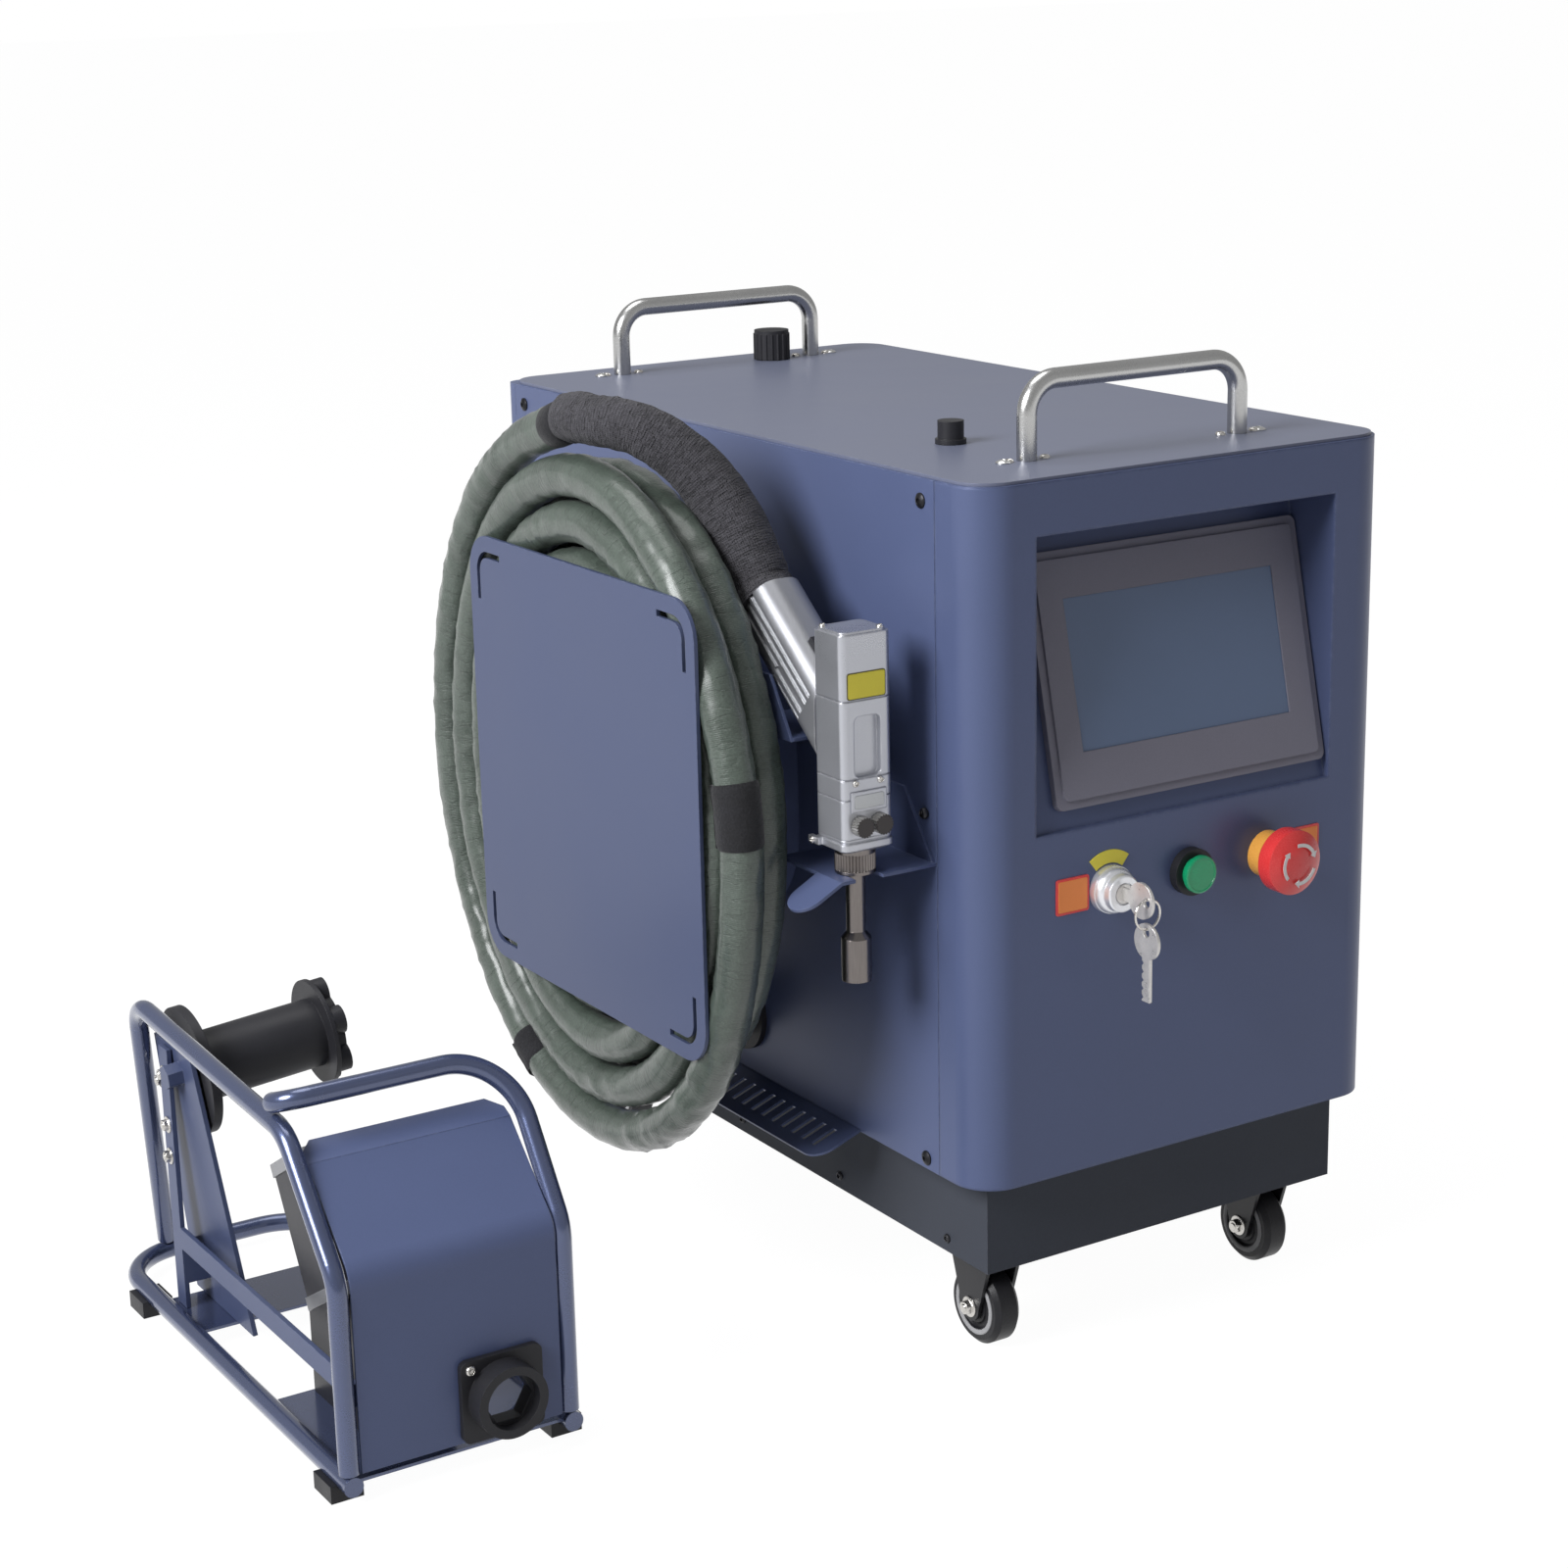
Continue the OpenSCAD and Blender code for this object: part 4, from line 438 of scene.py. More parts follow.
def smooth_line(points, steps):
    """A line through all the points, with steps between each two of them."""
    pts = [Vector(p) for p in points]
    out = []
    for i in range(len(pts) - 1):
        a = pts[i - 1] if i else pts[0] * 2 - pts[1]
        b, c = pts[i], pts[i + 1]
        d = pts[i + 2] if i + 2 < len(pts) else pts[-1] * 2 - pts[-2]
        for k in range(steps):
            t = k / steps
            out.append(
                (b * 2 + (c - a) * t + (a * 2 - b * 5 + c * 4 - d) * t * t
                 + (b * 3 - a - c * 3 + d) * t ** 3) / 2
            )
    out.append(pts[-1])
    return out


def spaced(line, step):
    """The same line with even spaces, and its length."""
    lengths = [0.0]
    for a, b in zip(line, line[1:]):
        lengths.append(lengths[-1] + (b - a).length)
    count = max(2, round(lengths[-1] / step))
    out, j = [], 0
    for i in range(count + 1):
        target = lengths[-1] * i / count
        while j < len(line) - 2 and lengths[j + 1] < target:
            j += 1
        span = max(lengths[j + 1] - lengths[j], 1e-9)
        out.append(line[j].lerp(line[j + 1], (target - lengths[j]) / span))
    return out, lengths[-1]


def carried_frames(line):
    """Each point with two directions across the line that turn with it and never twist."""
    frames = []
    tangent = (line[1] - line[0]).normalized()
    across = axes_of(tangent)[0]
    for i, point in enumerate(line):
        ahead = (line[min(i + 1, len(line) - 1)] - line[max(i - 1, 0)]).normalized()
        across = tangent.rotation_difference(ahead) @ across
        across = (across - ahead * across.dot(ahead)).normalized()
        tangent = ahead
        frames.append((point, across, ahead.cross(across)))
    return frames


def tube(name, line, radius, around, material, fold):
    """A closed tube along a line, with a map of turns round it and metres along it.

    radius is a function of the length, and fold one of the length and the angle."""
    rings, lengths, length = [], [], 0.0
    frames = carried_frames(line)
    for i, (point, x, y) in enumerate(frames):
        if i:
            length += (point - frames[i - 1][0]).length
        lengths.append(length)
        width = radius(length)
        rings.append(
            ring_round(point, x, y, lambda angle: width + fold(length, angle), around)
        )
    mesh = mesh_of(name, *skin(rings))
    wrap = mesh.uv_layers.new(name="Wrap")
    for face in mesh.polygons[: (len(rings) - 1) * around]:
        ring, k = divmod(face.index, around)
        spots = {
            (ring + ahead) * around + (k + beside) % around: (k + beside, ring + ahead)
            for ahead in (0, 1) for beside in (0, 1)
        }
        for loop in face.loop_indices:
            turn, step = spots[mesh.loops[loop].vertex_index]
            wrap.data[loop].uv = (turn / around, lengths[step])
    turn_outward(mesh)
    return as_object(name, mesh, material, 60.0)


def rides(obj, body):
    """Ties a piece to its body."""
    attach(obj, body)
    return obj


def piece(name, parts, key, body, sharp=38.0):
    """A piece of several skins with its finish and body."""
    return rides(joined(name, parts, FINISHES[key], sharp), body)


def front_plate(name, place, size, corner, thick, key, body):
    """A blank plate with round corners that faces the front, in millimetres."""
    x, y, z = place
    edge = [at(px, y, pz) for px, pz in outline(x, z, *size, corner)]
    return piece(name, [plate(edge, FRONT, thick * MM)], key, body)


# ---- repeats

ROWS = "Rows of one form"


def rows_tree():
    """Sets a form at every point of a mesh, turned to the point's aim and scaled by its size."""
    tree = bpy.data.node_groups.new(ROWS, "GeometryNodeTree")
    for name, kind in (
        ("Geometry", "Geometry"), ("Form", "Object"), ("Size", "Float"), ("Turn", "Float"),
        ("Seed", "Int"), ("Finish", "Material"),
    ):
        tree.interface.new_socket(name, in_out="INPUT", socket_type=f"NodeSocket{kind}")
    tree.interface.new_socket("Geometry", in_out="OUTPUT", socket_type="NodeSocketGeometry")
    given = tree.nodes.new("NodeGroupInput").outputs
    leave = tree.nodes.new("NodeGroupOutput")
    aim = add(tree, "GeometryNodeInputNamedAttribute", {"Name": "aim"}, data_type="FLOAT_VECTOR")
    align = add(tree, "FunctionNodeAlignRotationToVector", {"Vector": aim.outputs[0]}, axis="Z")
    spin = add(tree, "FunctionNodeRandomValue", {"Seed": given["Seed"], 3: given["Turn"]},
               data_type="FLOAT")
    about = add(tree, "ShaderNodeCombineXYZ", {2: spin.outputs[1]})
    twist = add(
        tree, "FunctionNodeRotateRotation",
        {"Rotation": align.outputs[0], "Rotate By": about.outputs[0]}, rotation_space="LOCAL",
    )
    form = add(tree, "GeometryNodeObjectInfo", {"Object": given["Form"]})
    instances = add(
        tree, "GeometryNodeInstanceOnPoints",
        {"Points": given["Geometry"], "Instance": form.outputs["Geometry"],
         "Rotation": twist.outputs[0], "Scale": given["Size"]},
    )
    real = add(tree, "GeometryNodeRealizeInstances", {"Geometry": instances.outputs[0]})
    coat = add(tree, "GeometryNodeSetMaterial",
               {"Geometry": real.outputs[0], "Material": given["Finish"]})
    tree.links.new(coat.outputs[0], leave.inputs[0])
    return tree


def in_rows(name, form, places, size, material):
    """One mesh of the form at each (point, aim), made by geometry nodes and then made plain."""
    mesh = mesh_of(name, [place for place, _ in places])
    aims = mesh.attributes.new("aim", "FLOAT_VECTOR", "POINT")
    for i, (_, aim) in enumerate(places):
        aims.data[i].vector = Vector(aim).normalized()
    seat = bpy.data.objects.new(name, mesh)
    bpy.context.collection.objects.link(seat)
    tree = bpy.data.node_groups.get(ROWS) or rows_tree()
    rows = seat.modifiers.new("Rows", "NODES")
    rows.node_group = tree
    sockets = {s.name: s.identifier for s in tree.interface.items_tree if s.in_out == "INPUT"}
    for key, value in (
        ("Form", form), ("Size", size), ("Turn", math.tau), ("Seed", 3), ("Finish", material)
    ):
        rows[sockets[key]] = value
    bpy.context.view_layer.update()
    evaluated = seat.evaluated_get(bpy.context.evaluated_depsgraph_get())
    made = bpy.data.meshes.new_from_object(evaluated)
    seat.modifiers.remove(rows)
    bpy.data.objects.remove(seat)
    made.name = name
    if "aim" in made.attributes:
        made.attributes.remove(made.attributes["aim"])
    if not made.materials:
        made.materials.append(material)
    return as_object(name, made, None, 35.0)


def form_of(name, profiles):
    """A form for the rows, one unit in radius, kept out of the render."""
    parts = [turned((0, 0, 0), UP, profile, 24) for profile in profiles]
    obj = joined(name, parts, None, 35.0)
    obj.hide_render = True
    return obj


def screw_form():
    """A domed button head with a hexagonal recess."""
    hole, height = polygon_radius(6, 1.05), 0.62
    return form_of("button form", [[
        (0.96, -0.25), (1.0, 0.0), (1.0, 0.12), (0.93, height * 0.62), (0.78, height * 0.9),
        (0.66, height), (hole, height), (hole, height * 0.25),
        (lambda angle: hole(angle) * 0.4, height * 0.12),
    ]])


def hex_form():
    """A hexagon head on a washer."""
    flats = polygon_radius(6, 1.55)
    return form_of("hexagon form", [
        [(1.25, -0.2), (1.28, 0.0), (1.28, 0.14), (1.22, 0.18)],
        [(flats, 0.1), (flats, 0.78), (lambda angle: min(flats(angle), 0.8) * 0.96, 0.9),
         (0.5, 0.9), (0.46, 1.02), (0.4, 1.04)],
    ])


# ---- stage and camera

CAMERA_PLACE = (-972.8, -1355.6, 841.8)
CAMERA_TURN, CAMERA_PITCH, CAMERA_ROLL = -31.88, 15.45, -1.28
CAMERA_LENS, SENSOR_WIDTH = 70.0, 36.0
LAMP_AIM = (100, 250, 300)
FLOOR_GLOW, FLOOR_SHARE = 1.13, 0.86


def placed(name, data, place, aim):
    """Links a camera or lamp to the scene, at a point in millimetres."""
    obj = bpy.data.objects.new(name, data)
    obj.matrix_world = Matrix.Translation(at(*place)) @ aim
    bpy.context.collection.objects.link(obj)
    return obj


class WELDER_OT_stage(bpy.types.Operator):
    """Pale floor, soft studio light, and the camera at the side of the hose."""

    bl_idname = "welder.stage"
    bl_label = "Stage and camera"

    def execute(self, context):
        sizes = context.scene.welder_stage
        context.scene.view_settings.view_transform = "Standard"
        context.scene.camera = self.camera()
        half = sizes.floor_width / 2
        edge = [(-half, -half, 0), (half, -half, 0), (half, half, 0), (-half, half, 0)]
        from_faces("floor", edge, [(0, 1, 2, 3)], self.pale())
        self.world(context, sizes.sky, sizes.glow)
        for name, place, size, power, tint in (
            ("Key", (-2400, -80, 1900), 1.5, sizes.key, (0.98, 0.985, 1.0)),
            ("Top", (-100, 700, 2600), 1.6, sizes.top, (1.0, 1.0, 1.0)),
            ("Fill", (1100, -2400, 1500), 2.2, sizes.fill, (0.97, 0.98, 1.0)),
        ):
            lamp = bpy.data.lights.new(name, "AREA")
            lamp.shape, lamp.size, lamp.energy, lamp.color = "DISK", size, power, tint
            aim = (at(*LAMP_AIM) - at(*place)).to_track_quat("-Z", "Y").to_matrix().to_4x4()
            placed(name, lamp, place, aim)
        return {"FINISHED"}

    def camera(self):
        lens = bpy.data.cameras.new("View")
        lens.lens, lens.sensor_width, lens.sensor_fit = CAMERA_LENS, SENSOR_WIDTH, "HORIZONTAL"
        lens.clip_start, lens.clip_end = 0.05, 100.0
        turn, pitch, roll = map(math.radians, (CAMERA_TURN, CAMERA_PITCH, CAMERA_ROLL))
        back = Vector((
            math.sin(turn) * math.cos(pitch), -math.cos(turn) * math.cos(pitch), math.sin(pitch)
        ))
        right = (-back).cross(Vector(UP)).normalized()
        up = right.cross(-back)
        side = right * math.cos(roll) + up * math.sin(roll)
        top = up * math.cos(roll) - right * math.sin(roll)
        aim = Matrix((side, top, back)).transposed().to_4x4()
        return placed("View", lens, CAMERA_PLACE, aim)

    def pale(self):
        """A floor that shows white and still keeps a shadow."""
        material, tree, shader = blank("Pale floor", 0.9)
        shader["Base Color"].default_value = (0.5, 0.5, 0.51, 1.0)
        shader["Specular IOR Level"].default_value = 0.1
        rays = add(tree, "ShaderNodeLightPath").outputs
        seen = maths(tree, "ADD", rays["Is Camera Ray"], rays["Is Glossy Ray"])
        seen = maths(tree, "ADD", seen, rays["Is Transmission Ray"], clamp=True)
        share = maths(tree, "MULTIPLY", seen, FLOOR_SHARE)
        white = add(tree, "ShaderNodeEmission", {"Color": WHITE, "Strength": FLOOR_GLOW})
        both = add(tree, "ShaderNodeMixShader",
                   {0: share, 1: tree.nodes["Principled BSDF"].outputs[0], 2: white.outputs[0]})
        tree.links.new(both.outputs[0], tree.nodes["Material Output"].inputs["Surface"])
        return material

    def world(self, context, strength, glow):
        """Even light all round; the camera sees it white and surfaces mirror it dimmer."""
        world = bpy.data.worlds.new("Room")
        context.scene.world = world
        world.use_nodes = True
        tree = world.node_tree
        ground = tree.nodes["Background"].inputs
        rays = add(tree, "ShaderNodeLightPath").outputs
        mirrored = ranged(tree, rays["Is Glossy Ray"], 0.0, 1.0, strength, glow)
        seen = maths(tree, "ADD", rays["Is Camera Ray"], rays["Is Transmission Ray"], clamp=True)
        tree.links.new(ranged(tree, seen, 0.0, 1.0, mirrored, 1.0), ground["Strength"])
        ground["Color"].default_value = WHITE


# ---- hose

COIL_TURNS, COIL_PITCH = 3.6, 28.5  # turns in to the drum and back, in millimetres a turn
COIL_X, LAYER_STEP = -110, 28
COIL_Y, COIL_Z, COIL_HALF_Y, COIL_HALF_Z = 258, 332, 200, 230
CROSS_FROM, CROSS_TURNS = 3.35, 0.5  # where the coil passes from one layer to the other
COIL_START, COIL_END, COIL_STEPS = 0.03, 6.2, 300
COIL_RUN, JOINT_RUN = 0.026, 0.012
PORT = (-34, 312, 168)
HOSE_STEP, HOSE_SIDES, WRAP_STEP, WRAP_SIDES = 0.0042, 28, 0.0022, 44
TUCK, TUCK_RUN = 0.0012, 0.006  # the wrap draws in where it ends in the collar
BAND_RADIUS, BAND_LIP, BAND_SIDES = 0.0141, 0.0008, 40
FLAP_RADIUS, FLAP_THICK, FLAP_FROM, FLAP_TO = 0.0146, 0.0012, 0.4, 2.5
GRIP_END, GRIP_SLOPE = (-47, 143.8, 466.4), (0, 0.780, 0.625)
LEAD_ROUTE = [
    (-48, 160, 486), (-53, 174, 511), (-62, 188, 534), (-74, 201, 551), (-87, 213, 562),
    (-98, 226, 567), (-106, 242, 568),
]


def coil_point(u):
    """A point of the coil u turns from its top end: wound in to the drum and back out behind."""
    t = u if u < COIL_TURNS else 2 * COIL_TURNS - u
    share = min(1.0, max(0.0, (u - CROSS_FROM) / CROSS_TURNS))
    share = share * share * (3 - 2 * share)
    angle = math.tau * u
    return at(
        COIL_X + LAYER_STEP * share, COIL_Y + (COIL_HALF_Y - COIL_PITCH * t) * math.sin(angle),
        COIL_Z + (COIL_HALF_Z - COIL_PITCH * t) * math.cos(angle),
    )


def coil_line():
    """The coil's middle line with a straight run at both ends, and the ways they point."""
    span = COIL_END - COIL_START
    line = [coil_point(COIL_START + span * i / COIL_STEPS) for i in range(COIL_STEPS + 1)]
    start = (line[0] - line[1]).normalized()
    end = (line[-1] - line[-2]).normalized()
    return [line[0] + start * COIL_RUN] + line + [line[-1] + end * COIL_RUN], start, end


def tail_line(start, way):
    """From the coil's end to the port along one smooth curve between two straight ends."""
    port = at(*PORT)
    first, last = start + way * JOINT_RUN, port + Vector((0, JOINT_RUN, 0))
    pulls = first + way * 0.150, last + Vector((0, 0.110, 0))
    line = [start]
    for i in range(61):
        t = i / 60
        line.append(
            first * (1 - t) ** 3 + pulls[0] * (3 * t * (1 - t) ** 2)
            + pulls[1] * (3 * t * t * (1 - t)) + last * t ** 3
        )
    return line + [port]


def folds(depth, rate=64.0, seed=0.0):
    """Crosswise folds of a sleeve that bends, with a slow drift of its thickness."""
    def at_point(length, angle):
        x, y = math.cos(angle), math.sin(angle)
        crease = noise.noise(Vector((x * 0.8, y * 0.8, length * rate + seed)))
        finer = noise.noise(Vector((x * 1.7 + 9, y * 1.7, length * rate * 2.1 + seed)))
        drift = noise.noise(Vector((x, y + 4, length * 13 + seed)))
        patch = 0.5 + 1.6 * noise.noise(Vector((seed, 3, length * 5)))
        sharp = 0.5 - min(1.0, abs(crease) * 3.2)
        where = 0.35 + 0.65 * max(0.0, min(1.0, patch))
        return depth * (where * (sharp + 0.5 * finer) + 0.9 * drift)
    return at_point


class WELDER_OT_hose(bpy.types.Operator):
    """The green-grey sleeved hose: out of the port, round the coil, and up to the wrap."""

    bl_idname = "welder.hose"
    bl_label = "Hose"

    def execute(self, context):
        sizes = context.scene.welder_hose
        coil, _, coil_out = coil_line()
        line, length = spaced(coil + tail_line(coil[-1], coil_out)[1:], HOSE_STEP)
        line = line[::-1]
        sleeve = woven(
            "Woven sleeve", sizes.sleeve, threads=110, pitch=0.0011, depth=0.00014,
            roughness=0.4, sheen=0.05, fuzz=0.22, wrinkle=0.0005, rate=120.0, across=0.45,
            coat=0.8,
        )
        radius = sizes.radius
        hose = tube("hose", line, lambda s: radius, HOSE_SIDES, sleeve, folds(sizes.crease))
        rides(hose, "cabinet")
        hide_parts("hose_coil", "hose_tail")
        self.joint(line[-1], coil)
        return {"FINISHED"}

    def joint(self, end, coil):
        """The short collar on which the sleeve and the wrap meet."""
        aim = (coil[0] - coil[1]).normalized()
        collar = turned(end - aim * 0.016, aim, [
            (0.0131, 0.0), (0.0139, 0.001), (0.0141, 0.008), (0.0139, 0.015), (0.0131, 0.016),
        ], 40)
        return piece("hose_joint", [collar], "tape", "cabinet")


class WELDER_OT_wrap(bpy.types.Operator):
    """The thick black cloth wrap between the coil and the gun's handle."""

    bl_idname = "welder.wrap"
    bl_label = "Cloth wrap"

    def execute(self, context):
        sizes = context.scene.welder_hose
        coil, coil_in, _ = coil_line()
        grip = at(*GRIP_END)
        route = [grip, grip + Vector(GRIP_SLOPE) * JOINT_RUN] + [at(*p) for p in LEAD_ROUTE]
        route += [coil[0] + coil_in * JOINT_RUN, coil[0]]
        line, length = spaced(smooth_line(route, 10), WRAP_STEP)
        thick, thin = sizes.grip_radius, sizes.coil_radius

        def radius(s):
            share = s / length
            tuck = 1 - min(1.0, (length - s) / TUCK_RUN)
            return thick + (thin - thick) * share * share * (3 - 2 * share) - TUCK * tuck ** 2

        cloth = woven(
            "Black cloth", sizes.wrap, threads=74, pitch=0.0016, depth=0.0003, roughness=0.85,
            sheen=0.1, fuzz=0.38, wrinkle=0.0011, rate=290.0, across=1.5,
        )
        wrap = tube("hose_wrap", line, radius, WRAP_SIDES, cloth, folds(0.0013, 130.0, 7.0))
        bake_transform(wrap)
        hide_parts("hose_lead")
        return {"FINISHED"}


class WELDER_OT_ties(bpy.types.Operator):
    """The black cloth bands round the hose."""

    bl_idname = "welder.ties"
    bl_label = "Hose bands"

    def execute(self, context):
        for name, turn, width in (
            ("tie_front", 0.772, 0.038), ("tie_low", 0.423, 0.024), ("tie_back", 5.42, 0.03)
        ):
            step = (coil_point(turn + 0.005) - coil_point(turn)).length / 0.005
            line = [coil_point(turn + width / step * (i / 12 - 0.5)) for i in range(13)]

            def radius(s, width=width):
                return BAND_RADIUS - BAND_LIP * (abs(2 * s / width - 1)) ** 12

            band = tube(name, line, radius, BAND_SIDES, FINISHES["tape"],
                        folds(0.0004, 220.0, turn * 9))
            rides(band, "cabinet")
            self.flap(name + "_flap", line, turn)
        return {"FINISHED"}

    def flap(self, name, line, turn):
        """The band's free end, lying on it with a ragged edge."""
        rings = []
        for i, (point, x, y) in enumerate(carried_frames(line)):
            far = FLAP_TO + 0.06 * noise.noise(Vector((turn, i * 1.3, 0)))
            outer, inner = [], []
            for k in range(15):
                angle = FLAP_FROM + (far - FLAP_FROM) * k / 14
                way = x * math.cos(angle) + y * math.sin(angle)
                lift = 0.0003 * noise.noise(Vector((i * 0.5, k * 0.4, turn)))
                outer.append(point + way * (FLAP_RADIUS + lift))
                inner.append(point + way * (FLAP_RADIUS - FLAP_THICK))
            rings.append(outer + inner[::-1])
        piece(name, [skin(rings)], "tape", "cabinet", 50.0)


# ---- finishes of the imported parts

SATIN = {"depth": 2e-5, "speck": 0.05, "cloud": 0.02, "swing": 0.03}
RUBBED = {**SATIN, "worn": (0.30, 0.34, 0.45)}
PRESSED = {**SATIN, "worn": (0.2, 0.235, 0.38), "worn_width": 0.0028, "worn_share": 0.35}
BLASTED = {"grain": 2600.0, "depth": 3e-5, "cloud": 0.04, "worn_width": 0.0012}
SMOOTH = {"depth": 1e-5, "speck": 0.03, "cloud": 0.04}

# key, name, colour or a setting and its share, (roughness, metallic, coat), more, CAD nodes
LOOKS = (
    ("paint", "Satin blue paint", ("cabinet", 1.0), (0.4, 0.1, 0.08), RUBBED,
     "left_panel right_panel rear_cover hanger_drum gun_brackets"),
    ("pressed", "Satin blue paint over pressed edges", ("cabinet", 1.0), (0.38, 0.12, 0.1),
     PRESSED, "front_cover"),
    # The feeder tubes wear the cabinet paint at 0.85, a darker copy of it: painted shade.
    ("tube paint with painted shade", "Satin blue paint on tube", ("cabinet", 0.85), (0.27, 0.6, 0.4),
     dict(depth=1e-5, speck=0.04, cloud=0.03, swing=0.04), "feeder_side feeder_hoop feeder_base"),
    # The hanger and spool plates wear the cabinet paint at 0.72, a darker copy of it: painted
    # shade.
    ("plate paint with painted shade", "Satin blue paint on the hanger plate", ("cabinet", 0.72), (0.42, 0.1, 0.08),
     RUBBED, "hanger_plate spool_plate"),
    # The feeder cover wears the cabinet paint at 1.05, a lighter copy of it for the light on its
    # top: painted light.
    ("cover paint with painted light", "Satin blue paint on the feeder cover", ("cabinet", 1.05), (0.36, 0.0, 0.05),
     RUBBED, "feeder_cover"),
    # The lid's paint is paler and greyer than the cabinet's; part of that is painted reflection of
    # the light on the top.
    ("lid", "Satin lid paint", ("lid", 1.0), (0.4, 0.1, 0.1),
     dict(depth=1e-5, speck=0.03, cloud=0.01, swing=0.02, worn=(0.3, 0.33, 0.4)), "lid"),
    ("tray", "Dark tray paint", ("tray", 1.0), (0.5, 0.05),
     dict(speck=0.10, cloud=0.05, worn=(0.2, 0.2, 0.22)), "base_tray"),
    ("plastic", "Moulded black plastic", ("plastic", 1.0), (0.5,),
     dict(depth=5e-5, speck=0.15, worn=(0.08, 0.08, 0.085)),
     "fan_frame fan_rotor filler_cap fittings estop_stem start_bezel gun_trigger "
     "spool_hub feeder_socket hose_port"),
    ("bezel", "Textured display frame", ("bezel", 1.0), (0.5,),
     dict(grain=2200.0, depth=5e-5, speck=0.12, cloud=0.03, worn=(0.2, 0.2, 0.22)),
     "display_unit"),
    ("glass", "Dark display glass", (0.13, 0.185, 0.31), (0.12, 0.0, 0.6),
     dict(depth=2e-6, speck=0.02, cloud=0.05, patches=5.0, swing=0.02), "display_screen"),
    ("zinc", "Zinc plated steel", (0.5, 0.51, 0.52), (0.38, 0.9),
     dict(speck=0.12, cloud=0.12, patches=60.0, depth=3e-5), "chassis"),
    ("steel", "Brushed stainless tube", (0.52, 0.52, 0.515), (0.24, 1.0),
     dict(grain=900.0, speck=0.1, stretch=(1.0, 0.05, 1.0), depth=1e-5, cloud=0.06),
     "front_handle rear_handle"),
    ("bright", "Bright nickel", (0.66, 0.64, 0.61), (0.24, 1.0),
     dict(depth=2e-5, speck=0.12, patches=120.0), "key_ring"),
    ("key metal", "Stamped key nickel", (0.72, 0.70, 0.68), (0.34, 0.6),
     dict(depth=2e-5, speck=0.1, cloud=0.08, patches=120.0), "key spare_key"),
    ("chrome", "Switch chrome", (0.82, 0.83, 0.86), (0.3, 0.7),
     dict(depth=1e-5, speck=0.05, cloud=0.03), "key_housing"),
    ("rim", "Grey wheel rim", (0.36, 0.36, 0.37), (0.4,),
     dict(speck=0.1, cloud=0.06, patches=60.0), ""),
    ("nozzle", "Turned nozzle steel", (0.2, 0.18, 0.172), (0.25, 1.0),
     dict(grain=1400.0, stretch=(1.0, 1.0, 0.05), speck=0.15, depth=2e-5), "gun_nozzle"),
    # The grip is the gun's aluminium made darker, a shaded copy of it: painted shade.
    ("grip metal with painted shade", "Bead blasted grip", (0.29, 0.295, 0.315), (0.36, 0.6),
     dict(BLASTED, worn=(0.75, 0.75, 0.77)), "gun_handle"),
    ("aluminium", "Bead blasted aluminium", (0.50, 0.51, 0.55), (0.32, 0.75),
     dict(BLASTED, worn=(0.85, 0.85, 0.87)), "gun_head lens_drawer"),
    ("black metal", "Black enamelled metal", (0.014, 0.014, 0.017), (0.38, 0.1, 0.2),
     dict(speck=0.12, worn=(0.16, 0.16, 0.17)),
     "front_forks rear_fork_left rear_fork_right feeder_drive"),
    ("oxide", "Black oxide steel", (0.045, 0.045, 0.05), (0.4, 0.8),
     dict(speck=0.2, worn=(0.25, 0.25, 0.26)), ""),
    ("rubber", "Wheel rubber", (0.014, 0.014, 0.017), (0.42,),
     dict(grain=900.0, depth=1.2e-4, speck=0.25, cloud=0.2, patches=50.0),
     "front_wheel_left front_wheel_right rear_wheel_left rear_wheel_right feeder_feet"),
    ("yellow", "Yellow switch plastic", (1.0, 0.47, 0.09), (0.33, 0.0, 0.4), SMOOTH, "estop_base"),
    ("red", "Red switch plastic", (0.8, 0.05, 0.05), (0.32, 0.0, 0.5), SMOOTH, "estop_head"),
    ("white", "White marking", (0.85, 0.83, 0.82), (0.5,), dict(speck=0.05, cloud=0.04), ""),
    ("orange", "Orange blank label", (0.95, 0.30, 0.09), (0.45,), dict(speck=0.03, cloud=0.03),
     ""),
    ("label yellow", "Yellow blank label", (0.85, 0.74, 0.09), (0.45,), dict(speck=0.03), ""),
    ("ink", "Dark label edge", (0.09, 0.08, 0.03), (0.45,), dict(speck=0.03), ""),
    ("blue box", "Blue module paint", (0.04, 0.07, 0.17), (0.4, 0.2, 0.3), {}, "laser_source"),
    ("plain metal", "Folded aluminium", (0.44, 0.45, 0.46), (0.4, 0.9),
     dict(speck=0.1, stretch=(1.0, 0.08, 1.0)), "power_supply radiator"),
    ("tank", "White tank moulding", (0.7, 0.72, 0.74), (0.45,), dict(depth=6e-5, cloud=0.05),
     "water_tank"),
    ("lens", "Green lens", (0.005, 0.27, 0.11), (0.22, 0.0, 0.5),
     dict(grain=1600.0, depth=6e-5, speck=0.2, patches=90.0), "start_button"),
    ("tape", "Black hook and loop tape", (0.02, 0.02, 0.023), (0.9,),
     dict(grain=800.0, depth=0.0005, speck=0.45, cloud=0.25, patches=80.0, sheen=0.12), ""),
)


